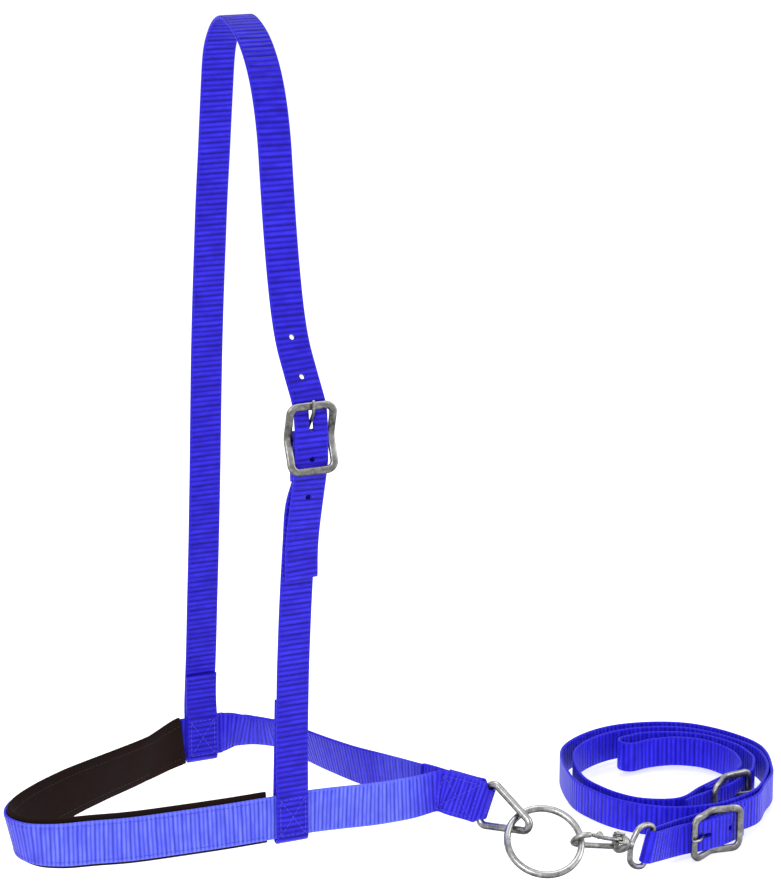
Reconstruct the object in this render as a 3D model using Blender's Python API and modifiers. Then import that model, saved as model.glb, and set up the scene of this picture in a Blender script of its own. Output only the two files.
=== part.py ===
"""Horse noseband and tie-down set: a lined nylon noseband hangs on a crown strap, and its chin
tab carries a triangle, a ring, a snap and a coiled tie-down strap.

World frame in metres: origin at the poll (underside of the crown strap), +X from the nose end
to the tie-down, +Y to the far cheek, +Z up. Every named size below is in millimetres.
"""

import math

import bmesh
import bpy
from mathutils import Matrix, Vector

MM = 0.001

# Webbing and lining
WEB = 1.8  # thickness of every nylon strap
GAP = 0.3  # air between touching pieces
BAND_WIDTH = 25.4  # noseband webbing, 1 in
STRAP_WIDTH = 19.05  # crown, cheek and tie-down webbing, 3/4 in
LINING_WIDTH = 30.0
LINING_THICKNESS = 3.0
HOLE_PITCH = 22.2
HOLE_RADIUS = 1.5

# Heights under the poll
BAND_BOTTOM = -446.0
BAND_MIDDLE = BAND_BOTTOM + BAND_WIDTH / 2
TIE_DOWN_MIDDLE = -477.5  # centre line of the coiled strap

# Chin tab and the hardware on it
TAB_START = Vector((91.0, -65.0, BAND_MIDDLE))
TAB_HEADING = math.radians(-25.0)
TAB_DROOP = math.radians(16.5)
TAB_BAR = 26.7  # from the tab's crease to the triangle's base bar
GATHERED_WIDTH = 18.4
TRIANGLE_WIRE = 4.4
TRIANGLE_BASE = 28.4
TRIANGLE_HEIGHT = 39.6
TRIANGLE_TURN = math.radians(36.8)  # about its base bar, towards the near side
RING_WIRE = 4.0
RING_RADIUS = 21.0
RING_CENTRE = Vector((134.6, -110.2, -455.5))
RING_LEAN = math.radians(50.9)
RING_TURN = math.radians(-9.0)

# Snap, in its own axes: x from the hook to the strap eye, z across the hook's plane
HOOK_WIRE = 3.4
HOOK_RADIUS = 5.9
HOOK_CENTRE = 1.9  # the ring lies against the nose, this far from the hook's centre
COLLAR_START = 29.0
COLLAR_LENGTH = 7.0
COLLAR_RADIUS = 5.6
SHANK_RADIUS = 1.7
GATE_PIVOT = Vector((25.5, -4.6, 0))
EYE_BAR = Vector((205.3, -105.3, -473.0))  # centre of the eye's strap bar, in the world
EYE_WIRE = 3.4
EYE_INSIDE = 21.5

# Buckles, in each buckle's own axes: x across the strap, y along it, z off the strap
BAR_RADIUS = 1.8
RAIL_REACH = 17.5  # centre bar to the middle of an end rail
RAIL_SPREAD = 12.4  # centre plane to the middle of a side rail
RAIL_HEIGHT = 6.3
RAIL_DIP = 1.8
RAIL_WIDTH = 4.2
RAIL_THICKNESS = 2.6
TONGUE_WIRE = 1.8
TONGUE_HOLE = Vector((0, 9.8, 4.6))  # middle of the worn hole the tongue is in

WEBBING_BLUE = (0.045, 0.02, 0.62, 1)
LINING_BROWN = (0.02, 0.01, 0.008, 1)
NICKEL = (0.55, 0.55, 0.53, 1)


def clear_scene():
    for thing in list(bpy.data.objects):
        bpy.data.objects.remove(thing)


def collection(name, hidden=False):
    made = bpy.data.collections.new(name)
    made.hide_render = hidden
    bpy.context.scene.collection.children.link(made)
    return made


def material(name, colour, roughness, metallic):
    made = bpy.data.materials.new(name)
    made.use_nodes = True
    shader = made.node_tree.nodes["Principled BSDF"]
    shader.inputs["Base Color"].default_value = colour
    shader.inputs["Roughness"].default_value = roughness
    shader.inputs["Metallic"].default_value = metallic
    return made


def webbing(name):
    return material(name, WEBBING_BLUE, 0.55, 0.0)


def nickel(name):
    return material(name, NICKEL, 0.3, 1.0)


clear_scene()
PARTS = collection("noseband_and_tie_down")
CUTTERS = collection("cutters", hidden=True)


def add(name, mesh, paint, place=None):
    """A new part from a mesh in metres, placed by a matrix in metres."""
    made = bpy.data.objects.new(name, mesh)
    made.data.materials.append(paint)
    made.matrix_world = place or Matrix()
    PARTS.objects.link(made)
    return made


def axes(origin, x, z):
    """A placing matrix in metres from an origin in millimetres, an x axis and a z axis."""
    z = z.normalized()
    x = (x - z * x.dot(z)).normalized()
    turn = Matrix((x, z.cross(x), z)).transposed().to_4x4()
    return Matrix.Translation(origin * MM) @ turn


def smooth(points, step=8.0):
    """Points every few millimetres along a Catmull-Rom curve through the given ones."""
    points = [Vector(p) for p in points]
    ends = [points[0] * 2 - points[1], *points, points[-1] * 2 - points[-2]]
    path = []
    for a, b, c, d in zip(ends, ends[1:], ends[2:], ends[3:]):
        pieces = max(1, round((c - b).length / step))
        for k in range(pieces):
            t = k / pieces
            path.append(
                0.5 * (2 * b + (c - a) * t + (2 * a - 5 * b + 4 * c - d) * t**2
                       + (3 * b - a - 3 * c + d) * t**3)
            )
    return path + [points[-1]]


def arc(centre, radius, start, end, pieces=8):
    """2D points round a centre, by angles in degrees."""
    angles = [math.radians(start + (end - start) * k / pieces) for k in range(pieces + 1)]
    return [(centre[0] + radius * math.cos(a), centre[1] + radius * math.sin(a)) for a in angles]


def strip(name, path, across, width, thickness, paint):
    """A strap: its centre line swept across its width, then thickened to both sides."""
    if isinstance(across, Vector):
        across = [across] * len(path)
    if not isinstance(width, list):
        width = [width] * len(path)
    shape = bmesh.new()
    rows = [
        [shape.verts.new((p + a * side * w / 2) * MM) for side in (-1, 1)]
        for p, a, w in zip(path, across, width)
    ]
    for (a, b), (c, d) in zip(rows, rows[1:]):
        shape.faces.new((a, b, d, c))
    mesh = bpy.data.meshes.new(name)
    shape.to_mesh(mesh)
    shape.free()
    made = add(name, mesh, paint)
    solid = made.modifiers.new("thickness", "SOLIDIFY")
    solid.thickness = thickness * MM
    solid.offset = 0
    solid.use_even_offset = True
    return made


def cut(target, cutter):
    """Takes a cutter object out of a part."""
    for holder in cutter.users_collection:
        holder.objects.unlink(cutter)
    CUTTERS.objects.link(cutter)
    cutter.hide_render = True
    cutter.display_type = "WIRE"
    hole = target.modifiers.new(cutter.name, "BOOLEAN")
    hole.operation = "DIFFERENCE"
    hole.object = cutter


def punch(target, place, width, length, depth=9.0):
    """A punched hole through a strap: round, or a slot where it is longer than wide."""
    bpy.ops.mesh.primitive_cylinder_add(vertices=16, radius=width / 2 * MM, depth=depth * MM)
    pin = bpy.context.object
    pin.name = target.name + "_punch"
    stretch = (length - width) / 2 * MM
    for vertex in pin.data.vertices:
        vertex.co.y += math.copysign(stretch, vertex.co.y)
    pin.matrix_world = place
    cut(target, pin)


def to_mesh(curve, name, paint):
    """Turns a curve object into a part with welded caps."""
    graph = bpy.context.evaluated_depsgraph_get()
    mesh = bpy.data.meshes.new_from_object(curve.evaluated_get(graph))
    shape = bmesh.new()
    shape.from_mesh(mesh)
    bmesh.ops.remove_doubles(shape, verts=shape.verts, dist=0.00002)
    shape.to_mesh(mesh)
    shape.free()
    mesh.materials.clear()
    made = add(name, mesh, paint, curve.matrix_world.copy())
    bpy.data.objects.remove(curve)
    made.data.shade_smooth()
    made.data.set_sharp_from_angle(angle=math.radians(40))
    return made


def wire(name, points, diameter, paint, place, closed=False, sides=2):
    """A bent wire through points in millimetres of its own axes."""
    line = bpy.data.curves.new(name + "_line", "CURVE")
    line.dimensions = "3D"
    line.bevel_depth = diameter / 2 * MM
    line.bevel_resolution = sides
    line.use_fill_caps = not closed
    spline = line.splines.new("POLY")
    spline.points.add(len(points) - 1)
    for point, place_on in zip(spline.points, points):
        point.co = (*(Vector(place_on) * MM), 1)
    spline.use_cyclic_u = closed
    bent = bpy.data.objects.new(name + "_line", line)
    bent.matrix_world = place
    PARTS.objects.link(bent)
    bpy.context.view_layer.update()
    return to_mesh(bent, name, paint)


def pivot(name, place, parent=None):
    """An empty on a joint's axis, which is its own z axis."""
    made = bpy.data.objects.new(name, None)
    made.empty_display_size = 0.01
    PARTS.objects.link(made)
    made.matrix_world = place
    if parent:
        hang(made, parent)
    return made


def hang(child, parent):
    """Parents a piece to an empty and leaves it where it is."""
    bpy.context.view_layer.update()
    child.parent = parent
    child.matrix_parent_inverse = parent.matrix_world.inverted()


# --- Buckles: the same frame, tongue and strap routes three times ---------------------------


def side(points, place):
    """World points in millimetres for a route given as (along, off) in a buckle's axes."""
    return [(place @ (Vector((0, y, z)) * MM)) / MM for y, z in points]


def wrap_route(tail=24.0):
    """A strap folded round the centre bar: its sewn tail, the fold, and its main run."""
    fold = arc((0, 0), BAR_RADIUS + GAP + WEB / 2, -90, 90, 8)
    run = [(-4.5, 2.2), (-9.5, -0.4), (-12.5, -0.8), (-tail, -0.9)]
    return [(-tail, -3.0), (-10, -3.0), *fold, *run]


def billet_route():
    """The free end over the centre bar and under both end rails, from the tongue's side."""
    return [(40, 0.6), (28, 1.8), (17.5, 3.3), (9, 4.7), (0, 5.2), (-9, 4.4), (-17.5, 2.9), (-28, 1.4)]


def buckle_frame(name, place):
    """A saddle-shaped frame, high at both end rails, with its centre bar cast in."""
    corner = 4.5
    outline = []
    for sx, sy, start in ((1, 1, 0), (-1, 1, 90), (-1, -1, 180), (1, -1, 270)):
        centre = (sx * (RAIL_SPREAD - corner), sy * (RAIL_REACH - corner))
        outline += arc(centre, corner, start, start + 90, 4)
    rail = []
    for (ax, ay), (bx, by) in zip(outline, outline[1:] + outline[:1]):
        pieces = max(1, round(math.hypot(bx - ax, by - ay) / 4.0))
        for k in range(pieces):
            x = ax + (bx - ax) * k / pieces
            y = ay + (by - ay) * k / pieces
            rise = min(1.0, abs(y) / RAIL_REACH)
            rail.append((x, y, RAIL_DIP + (RAIL_HEIGHT - RAIL_DIP) * math.sin(rise * math.pi / 2) ** 1.5))
    section = bpy.data.curves.new(name + "_section", "CURVE")
    section.dimensions = "2D"
    flat = section.splines.new("POLY")
    w, t, c = RAIL_WIDTH / 2, RAIL_THICKNESS / 2, 0.8
    corners = [(w, c - t), (w, t - c), (w - c, t), (c - w, t)]
    corners += [(-x, -y) for x, y in corners]
    flat.points.add(len(corners) - 1)
    for point, (x, y) in zip(flat.points, corners):
        point.co = (x * MM, y * MM, 0, 1)
    flat.use_cyclic_u = True
    profile = bpy.data.objects.new(name + "_section", section)
    profile.hide_render = True
    profile.display_type = "WIRE"
    CUTTERS.objects.link(profile)
    line = bpy.data.curves.new(name + "_line", "CURVE")
    line.dimensions = "3D"
    line.twist_mode = "Z_UP"
    line.bevel_mode = "OBJECT"
    line.bevel_object = profile
    spline = line.splines.new("POLY")
    spline.points.add(len(rail) - 1)
    for point, at in zip(spline.points, rail):
        point.co = (*(Vector(at) * MM), 1)
    spline.use_cyclic_u = True
    bent = bpy.data.objects.new(name + "_line", line)
    PARTS.objects.link(bent)
    bpy.context.view_layer.update()
    made = to_mesh(bent, name, nickel(name))
    bpy.ops.mesh.primitive_cylinder_add(
        vertices=14, radius=BAR_RADIUS * MM, depth=2 * RAIL_SPREAD * MM, rotation=(0, math.pi / 2, 0)
    )
    bar = bpy.context.object
    bar.name = name + "_bar"
    bpy.context.view_layer.update()
    cut(made, bar)
    made.modifiers[-1].operation = "UNION"
    bar.matrix_world = place @ bar.matrix_world
    made.matrix_world = place
    return made


def buckle_tongue(name, place, parent=None):
    """The wire tongue: a loop round the bar, then up through the hole and onto the end rail."""
    loop = arc((0, 0), 3.0, 60, 330, 12)
    blade = smooth([(y, z, 0) for y, z in (loop[-1], (4.6, 0.4), (8.0, 3.3), (11.4, 6.4), (14.4, 8.5),
                                           (17.5, 9.2), (20.4, 9.0))], 2.2)
    route = [(0, y, z) for y, z in loop[:-1]] + [(0, p.x, p.y) for p in blade]
    axle = pivot(name + "_axle", place @ Matrix.Rotation(math.pi / 2, 4, "Y"), parent)
    made = wire(name, route, TONGUE_WIRE, nickel(name), place)
    hang(made, axle)
    return made


def tongue_slot(strap, place):
    """The slot in a folded strap that leaves the tongue's loop room on the bar."""
    bpy.ops.mesh.primitive_cube_add(size=1)
    block = bpy.context.object
    block.name = strap.name + "_slot"
    block.scale = Vector((3.2, 10.6, 9.8)) * MM
    bpy.context.view_layer.update()
    block.data.transform(block.matrix_world)
    block.matrix_world = place @ Matrix.Translation(Vector((0, 0.9, 0)) * MM)
    cut(strap, block)


def billet_holes(strap, place, path, across, steps):
    """Punched holes at the usual pitch, counted along the strap from the one the tongue is in."""
    tongue_at = side([(11.0, 4.4)], place)[0]
    toward = (place.to_3x3() @ Vector((0, 1, 0))).normalized()
    first = min(range(1, len(path) - 1), key=lambda k: (path[k] - tongue_at).length)
    sense = 1 if (path[first + 1] - path[first - 1]).dot(toward) > 0 else -1
    for step in steps:
        k = first
        left = abs(step) * HOLE_PITCH + (path[first] - tongue_at).dot(toward) * (-1 if step > 0 else 1)
        way = sense if step > 0 else -sense
        spot = tongue_at if step == 0 else path[k]
        while step and left > 0:
            run = path[k + way] - path[k]
            spot = path[k] + run * min(1.0, left / run.length)
            left -= run.length
            k += way
        heading = (path[min(k + 1, len(path) - 1)] - path[k - 1]).normalized()
        if step:
            punch(strap, axes(spot, across[k], across[k].cross(heading)), 2 * HOLE_RADIUS, 2 * HOLE_RADIUS, 5.6)
        else:
            punch(strap, place @ Matrix.Translation(TONGUE_HOLE * MM), 2.5, 12.0, 5.6)


# --- Headstall -------------------------------------------------------------------------------

UP = Vector((0, 0, 1))
ALONG_X = Vector((1, 0, 0))

# The noseband's plan, from the chin round the far cheek and the nose to the near cheek
FAR_PLAN = [(86, -54), (76, -29), (66, -6), (57, 19), (50, 43), (44, 60), (33, 69.5), (22, 72)]
FAR_SEAT = [(14, 72), (0, 72), (-14, 72)]
NOSE_PLAN = [
    (-24, 68.5), (-44, 57), (-72, 42.5), (-98, 28.5), (-123, 12), (-141, -5), (-147.5, -21), (-142, -36),
    (-128, -45), (-110, -49), (-90, -53.5), (-65, -58), (-38, -62), (-24, -63.5),
]
NEAR_SEAT = [(-14, -64), (0, -64), (14, -64)]
NEAR_PLAN = [(30, -64.6), (52, -65.6), (74, -66.4)]

tab_out = Vector((math.cos(TAB_HEADING), math.sin(TAB_HEADING), 0))
tab_side = Vector((math.sin(TAB_HEADING), -math.cos(TAB_HEADING), 0))
tab_along = tab_out * math.cos(TAB_DROOP) - UP * math.sin(TAB_DROOP)
tab_up = tab_out * math.sin(TAB_DROOP) + UP * math.cos(TAB_DROOP)


def tab_point(along, off):
    """A point of the chin tab: along it from the crease, and off its middle to the near side."""
    return TAB_START + tab_along * along + tab_side * off


def between(x, stops):
    """A value read off a broken line of (place, value) stops."""
    for (a, low), (b, high) in zip(stops, stops[1:]):
        if x <= b:
            return low + (high - low) * max(0, (x - a) / (b - a))
    return stops[-1][1]


def droop(x, y):
    """The band hangs a little lower at the nose and between the cheeks and the chin tab."""
    if x < 0:
        return between(-x, [(13, 0), (34, -2.6)] if y > 0 else [(20, 0), (55, -1.3), (90, -2.6)])
    return between(x, [(20, 0), (45, -1.7), (70, -1.7), (88, -0.2)])


def plan(points):
    return [Vector((x, y, BAND_MIDDLE + droop(x, y))) for x, y in points]


def noseband_route():
    """The whole webbing: its sewn-in far end, round the nose, and the near end round the bar."""
    around = smooth([tab_point(10, 0), tab_point(0, 0), *plan(FAR_PLAN + FAR_SEAT[:1])], 8)[1:]
    nose = smooth(plan(FAR_SEAT[-1:] + NOSE_PLAN + NEAR_SEAT[:1]), 7)
    chin = smooth([*plan(NEAR_SEAT[-1:] + NEAR_PLAN), tab_point(0, WEB + GAP), tab_point(9, WEB + GAP)], 8)
    turn = TRIANGLE_WIRE / 2 + GAP + WEB / 2
    fold = [tab_point(TAB_BAR + y, -x) for x, y in arc((0, 0), turn, 180, 0, 8)]
    back = [tab_point(TAB_BAR - 7, -WEB - GAP), tab_point(12, -WEB - GAP), tab_point(2.5, -WEB - GAP)]
    inner_end = [tab_point(TAB_BAR - 5.5, 0), tab_point(18, 0)]
    return (
        inner_end + around + nose + plan(NEAR_SEAT[1:2]) + chin
        + [tab_point(TAB_BAR - 7, WEB + GAP)] + fold + back
    )


def stand(point):
    """Which way the band's width points: upright at the cheeks, leaning at the nose, far side and chin."""
    if point.x < -14:
        tip = between(-point.x, [(88, 0), (140, 13)])
        far = between(-point.x, [(16, 0), (40, 12), (70, 8), (100, 0)]) if point.y > 0 else 0
        inward = Vector((math.sin(math.radians(-tip)), -math.sin(math.radians(far)), 0))
        return (UP + inward).normalized()
    if point.x > 14 and point.y > -54:
        far = between(point.y, [(-54, 0), (-6, 14), (43, 24), (62, 30)]) * between(point.x, [(11, 0), (24, 1)])
        return (UP - Vector((0.7, 0.71, 0)) * math.tan(math.radians(far))).normalized()
    return UP.lerp(tab_up, min(1, max(0, (point.x - 70) / 22))).normalized()


def band_across(path):
    return [stand(p) for p in path]


def make_noseband():
    """The band is gathered between the triangle's legs where it folds round the bar."""
    path = noseband_route()
    widths = [
        GATHERED_WIDTH if (p - tab_point(TAB_BAR, 0)).dot(tab_along) > -0.5 else BAND_WIDTH for p in path
    ]
    strip("noseband_webbing", path, band_across(path), widths, WEB, webbing("noseband_webbing"))


def make_lining():
    """Soft lining sewn inside the nose half, from one cheek strap to the other."""
    line = smooth(plan(FAR_SEAT[-1:] + NOSE_PLAN + NEAR_SEAT[:1]), 7)
    inset = WEB / 2 + GAP + LINING_THICKNESS / 2
    path = []
    for before, here, after in zip(line[:1] + line, line, line[1:] + line[-1:]):
        heading = (after - before).normalized()
        path.append(here + UP.cross(heading) * inset)
    strip("nose_lining", path, band_across(path), LINING_WIDTH, LINING_THICKNESS,
          material("nose_lining", LINING_BROWN, 0.9, 0.0))


CHEEK_TILT = 0.05
CHEEK_BUCKLE = axes(
    Vector((2.0, -87.0, -211.0)), ALONG_X, Vector((0, -math.cos(CHEEK_TILT), math.sin(CHEEK_TILT)))
)
SEAT = WEB + 0.4  # centre of a cheek layer off the centre of the noseband


def around_band(y, outward):
    """The fold under the noseband, from the outer layer to the inner one, as (y, z)."""
    turn = arc((y, BAND_BOTTOM), SEAT, 180, 360, 8)
    return [(y + (p - y) * -outward, z) for p, z in turn]


def x_plane(points):
    return [Vector((0, y, z)) for y, z in points]


def make_near_cheek():
    """From its sewn inner end, under the noseband, up outside it and round the buckle's bar."""
    inner = [(-65.3, -364), (-64.0, -386), (-63.0, -403), (-62.3, -413), (-61.8, -420.5)]
    fold = around_band(-64, -1)[::-1]
    outer = [(-66.2, -420.5), (-66.3, -412), (-66.4, -400), (-66.9, -381), (-68.0, -361),
             (-69.6, -340), (-73.5, -305), (-78.5, -272), (-82.5, -250)]
    wrapped = side(wrap_route()[::-1], CHEEK_BUCKLE)
    path = (smooth(x_plane(inner), 6) + x_plane(fold) + smooth([*x_plane(outer), wrapped[0]], 14)[:-1]
            + wrapped)
    strap = strip("near_cheek_strap", path, ALONG_X, STRAP_WIDTH, WEB, webbing("near_cheek_strap"))
    tongue_slot(strap, CHEEK_BUCKLE)


def crown_route():
    """From the billet's tip up through the buckle, over the poll and round the far noseband."""
    low = [Vector((1.2, -78.6, -292)), Vector((0.7, -81.9, -268))]
    through = side(billet_route()[::-1], CHEEK_BUCKLE)[1:-2] + [Vector((1.0, -80.5, -178))]
    over = x_plane([
        (-73.0, -164), (-66.5, -149), (-61.0, -128), (-56.5, -104), (-53.0, -80), (-49.5, -56),
        (-43.5, -36), (-35, -20.5), (-24, -9), (-12, -2.2), (0, 0.9), (11, -2.4), (20, -10.5),
        (26.5, -22), (31.0, -45), (36.0, -76), (41.0, -105), (45.0, -134), (49.0, -164), (52.5, -196),
        (55.5, -232), (58.5, -270), (62.0, -308), (66.0, -345), (69.5, -378), (72.4, -400),
        (74.0, -412), (74.2, -420.5),
    ])
    fold = around_band(72, 1)
    inner = [(69.8, -420.5), (70.9, -411), (70.6, -401), (69.6, -394)]
    return smooth([*low, *through, *over], 9) + x_plane(fold) + smooth(x_plane(inner), 6)


def make_crown():
    path = crown_route()
    strap = strip("crown_strap", path, ALONG_X, STRAP_WIDTH, WEB, webbing("crown_strap"))
    billet_holes(strap, CHEEK_BUCKLE, path, [ALONG_X] * len(path), (-2, -1, 0, 1, 2))



# --- Triangle, ring and snap -----------------------------------------------------------------

TRIANGLE_BAR = tab_point(TAB_BAR, 0)
triangle_out = tab_along * math.cos(TRIANGLE_TURN) + tab_side * math.sin(TRIANGLE_TURN)
TRIANGLE_PLACE = axes(TRIANGLE_BAR, triangle_out, triangle_out.cross(tab_up))

ring_out = tab_out * math.cos(RING_TURN) + tab_side * math.sin(RING_TURN)
ring_back = tab_out * math.sin(RING_TURN) - tab_side * math.cos(RING_TURN)
ring_rise = UP * math.cos(RING_LEAN) + ring_back * math.sin(RING_LEAN)
RING_PLACE = axes(RING_CENTRE, ring_out, ring_out.cross(ring_rise))
RING_HOOKED = RING_CENTRE + ring_out * RING_RADIUS
RING_LINKED = RING_CENTRE + RING_RADIUS * (
    ring_out * math.cos(math.radians(133.5)) + ring_rise * math.sin(math.radians(133.5))
)

snap_along = (EYE_BAR - RING_HOOKED).normalized()
SNAP_LENGTH = (EYE_BAR - RING_HOOKED).length
SNAP_PLACE = axes(RING_HOOKED, snap_along, ring_rise - snap_along * ring_rise.dot(snap_along))
eye_up = (UP - snap_along * UP.dot(snap_along)).normalized()
EYE_PLACE = axes(RING_HOOKED, snap_along, eye_up.cross(snap_along) * -1)


def make_triangle():
    """A closed wire: base bar in the tab's fold, rounded corners, apex in the ring."""
    corners = [Vector((0, TRIANGLE_BASE / 2, 0)), Vector((0, -TRIANGLE_BASE / 2, 0)),
               Vector((TRIANGLE_HEIGHT, 0, 0))]
    bend = 4.0
    points = []
    for k, corner in enumerate(corners):
        one = (corners[k - 1] - corner).normalized()
        two = (corners[(k + 1) % 3] - corner).normalized()
        half = one.angle(two) / 2
        centre = corner + (one + two).normalized() * bend / math.sin(half)
        start = corner + one * bend / math.tan(half) - centre
        stop = corner + two * bend / math.tan(half) - centre
        points += [centre + start.slerp(stop, t / 6) * bend for t in range(7)]
    wire("chin_triangle", points, TRIANGLE_WIRE, nickel("chin_triangle"), TRIANGLE_PLACE, closed=True)


def make_ring():
    bpy.ops.mesh.primitive_torus_add(
        major_radius=RING_RADIUS * MM, minor_radius=RING_WIRE / 2 * MM, major_segments=40, minor_segments=10
    )
    ring = bpy.context.object
    for holder in ring.users_collection:
        holder.objects.unlink(ring)
    PARTS.objects.link(ring)
    ring.name = "tie_down_ring"
    ring.data.materials.append(nickel("tie_down_ring"))
    ring.data.shade_smooth()
    ring.matrix_world = RING_PLACE


def turned(name, profile, place, paint, steps=20):
    """A turned piece: (radius, along) pairs spun round the local x axis."""
    shape = bmesh.new()
    points = [shape.verts.new((x * MM, r * MM, 0)) for r, x in profile]
    for a, b in zip(points, points[1:]):
        shape.edges.new((a, b))
    mesh = bpy.data.meshes.new(name)
    shape.to_mesh(mesh)
    shape.free()
    made = add(name, mesh, paint, place)
    spin = made.modifiers.new("turn", "SCREW")
    spin.axis = "X"
    spin.steps = steps
    spin.render_steps = steps
    spin.use_merge_vertices = True
    spin.merge_threshold = 0.0001
    return made


def join(target, piece):
    """A Boolean union of a helper piece into a part."""
    cut(target, piece)
    target.modifiers[-1].operation = "UNION"


def rod(name, start, stop, radius, place, vertices=14):
    """A straight cylinder between two points of a placing's axes."""
    start, stop = Vector(start), Vector(stop)
    bpy.ops.mesh.primitive_cylinder_add(
        vertices=vertices, radius=radius * MM, depth=(stop - start).length * MM
    )
    made = bpy.context.object
    made.name = name
    aim = (stop - start).to_track_quat("Z", "Y").to_matrix().to_4x4()
    made.matrix_world = place @ Matrix.Translation((start + stop) / 2 * MM) @ aim
    return made


def block(name, centre, size, place):
    bpy.ops.mesh.primitive_cube_add(size=1)
    made = bpy.context.object
    made.name = name
    made.data.transform(Matrix.Diagonal((*(Vector(size) * MM), 1)))
    made.matrix_world = place @ Matrix.Translation(Vector(centre) * MM)
    return made


def make_snap_body():
    """Hook, spine, collar and the two lugs that carry the gate."""
    paint = nickel("snap_body")
    nose = [Vector((x, y, 0)) for x, y in arc((HOOK_CENTRE, 0), HOOK_RADIUS, 90, 264, 13)]
    spine = smooth([(COLLAR_START + 1.5, 4.1, 0), (21, 4.9, 0), (12, 5.8, 0), (6, 5.9, 0)], 5)
    body = wire("snap_body", [*spine, *nose], HOOK_WIRE, paint, SNAP_PLACE, sides=3)
    end = COLLAR_START + COLLAR_LENGTH
    collar = turned("snap_collar", [
        (SHANK_RADIUS + GAP, COLLAR_START), (COLLAR_RADIUS - 0.6, COLLAR_START),
        (COLLAR_RADIUS, COLLAR_START + 0.8), (COLLAR_RADIUS, end - 4.5), (COLLAR_RADIUS - 1.6, end),
        (SHANK_RADIUS + GAP, end), (SHANK_RADIUS + GAP, COLLAR_START),
    ][::-1], SNAP_PLACE, paint)
    join(body, collar)
    for sign in (-1, 1):
        x, y, _ = GATE_PIVOT
        join(body, block("snap_lug", (x + 1.6, y, sign * 2.9), (7.4, 4.4, 1.2), SNAP_PLACE))
    cut(body, rod("snap_rivet_hole", GATE_PIVOT - Vector((0, 0, 5)), GATE_PIVOT + Vector((0, 0, 5)),
                  0.9 + GAP / 2, SNAP_PLACE))


def make_gate(parent):
    """The gate: a bar from its hub to the hook's tip, with a thumb lump."""
    x, y, _ = GATE_PIVOT
    gate = rod("snap_gate", (x, y, -1.5), (x, y, 0.3), 2.2, SNAP_PLACE, 18)
    for holder in gate.users_collection:
        holder.objects.unlink(gate)
    PARTS.objects.link(gate)
    gate.data.materials.append(nickel("snap_gate"))
    place = SNAP_PLACE.copy()
    gate.data.transform(place.inverted() @ gate.matrix_world)
    gate.matrix_world = place
    join(gate, rod("snap_gate_bar", (x, y, -0.6), (HOOK_CENTRE + 2.0, -5.9, 0), 1.2, place, 12))
    join(gate, rod("snap_gate_lump", (8.6, -8.4, 0), (8.6, -5.0, 0), 2.0, place, 14))
    cut(gate, rod("snap_gate_hole", (x, y, -5), (x, y, 5), 0.9 + GAP, place))
    hang(gate, parent)


def make_rivet():
    x, y, _ = GATE_PIVOT
    rivet = rod("snap_gate_rivet", (x, y, -4.2), (x, y, 4.2), 0.9, SNAP_PLACE, 14)
    for holder in rivet.users_collection:
        holder.objects.unlink(rivet)
    PARTS.objects.link(rivet)
    rivet.data.materials.append(nickel("snap_gate_rivet"))
    for sign in (-1, 1):
        rivet_head = rod("snap_rivet_head", (x, y, sign * 3.8), (x, y, sign * 4.6), 1.7, SNAP_PLACE, 14)
        join(rivet, rivet_head)


def make_spring():
    """A torsion spring on the rivet, with one leg along the gate and one to the collar."""
    coil = []
    turns, steps, radius = 1.75, 12, 1.75
    for k in range(int(turns * steps) + 1):
        angle = math.tau * k / steps + math.pi
        coil.append(GATE_PIVOT + Vector((
            radius * math.cos(angle), radius * math.sin(angle), 1.05 + 0.5 * k / steps
        )))
    route = [GATE_PIVOT + Vector((-6.0, 1.9, 1.05)), *coil[3:], coil[-1] + Vector((2.2, -0.1, 0))]
    wire("snap_gate_spring", route, 0.45, nickel("snap_gate_spring"), SNAP_PLACE, sides=1)


def make_eye():
    """The swivel: a headed shank through the collar and a D-shaped eye for the strap."""
    half = EYE_INSIDE / 2 + EYE_WIRE / 2
    root = COLLAR_START + COLLAR_LENGTH + 4.0
    neck = SNAP_LENGTH - 5.5
    outline = [(root, 0), (root + 0.6, 3.2), (neck - 6.5, half - 2.6), (neck - 2.0, half), (SNAP_LENGTH - 2.2, half),
               (SNAP_LENGTH - 0.6, half - 0.7), (SNAP_LENGTH, half - 2.4)]
    points = [Vector((x, y, 0)) for x, y in outline] + [Vector((x, -y, 0)) for x, y in outline[::-1][:-1]]
    paint = nickel("snap_eye")
    eye = wire("snap_eye", points, EYE_WIRE, paint, EYE_PLACE, closed=True)
    shank = turned("snap_shank", [
        (0, root + 0.5), (2.6, root + 0.5), (2.6, COLLAR_START + COLLAR_LENGTH + 0.6),
        (SHANK_RADIUS, COLLAR_START + COLLAR_LENGTH + 0.6), (SHANK_RADIUS, COLLAR_START - 0.4),
        (2.5, COLLAR_START - 0.4), (2.1, COLLAR_START - 1.7), (0, COLLAR_START - 1.9),
    ], EYE_PLACE, paint, 20)
    join(eye, shank)
    return eye


# --- Tie-down strap --------------------------------------------------------------------------

COIL_CENTRE = Vector((275.0, 2.0, TIE_DOWN_MIDDLE))
FRONT_BUCKLE_AT = Vector((256.0, -89.0, TIE_DOWN_MIDDLE))
FRONT_BUCKLE_HEADING = math.radians(10.0)
REAR_BUCKLE_AT = Vector((290.5, -46.5, TIE_DOWN_MIDDLE))
REAR_BUCKLE_HEADING = math.radians(24.0)
UNDER_BUCKLE = -5.1  # centre of the main strap off a tie-down buckle's bar

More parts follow.
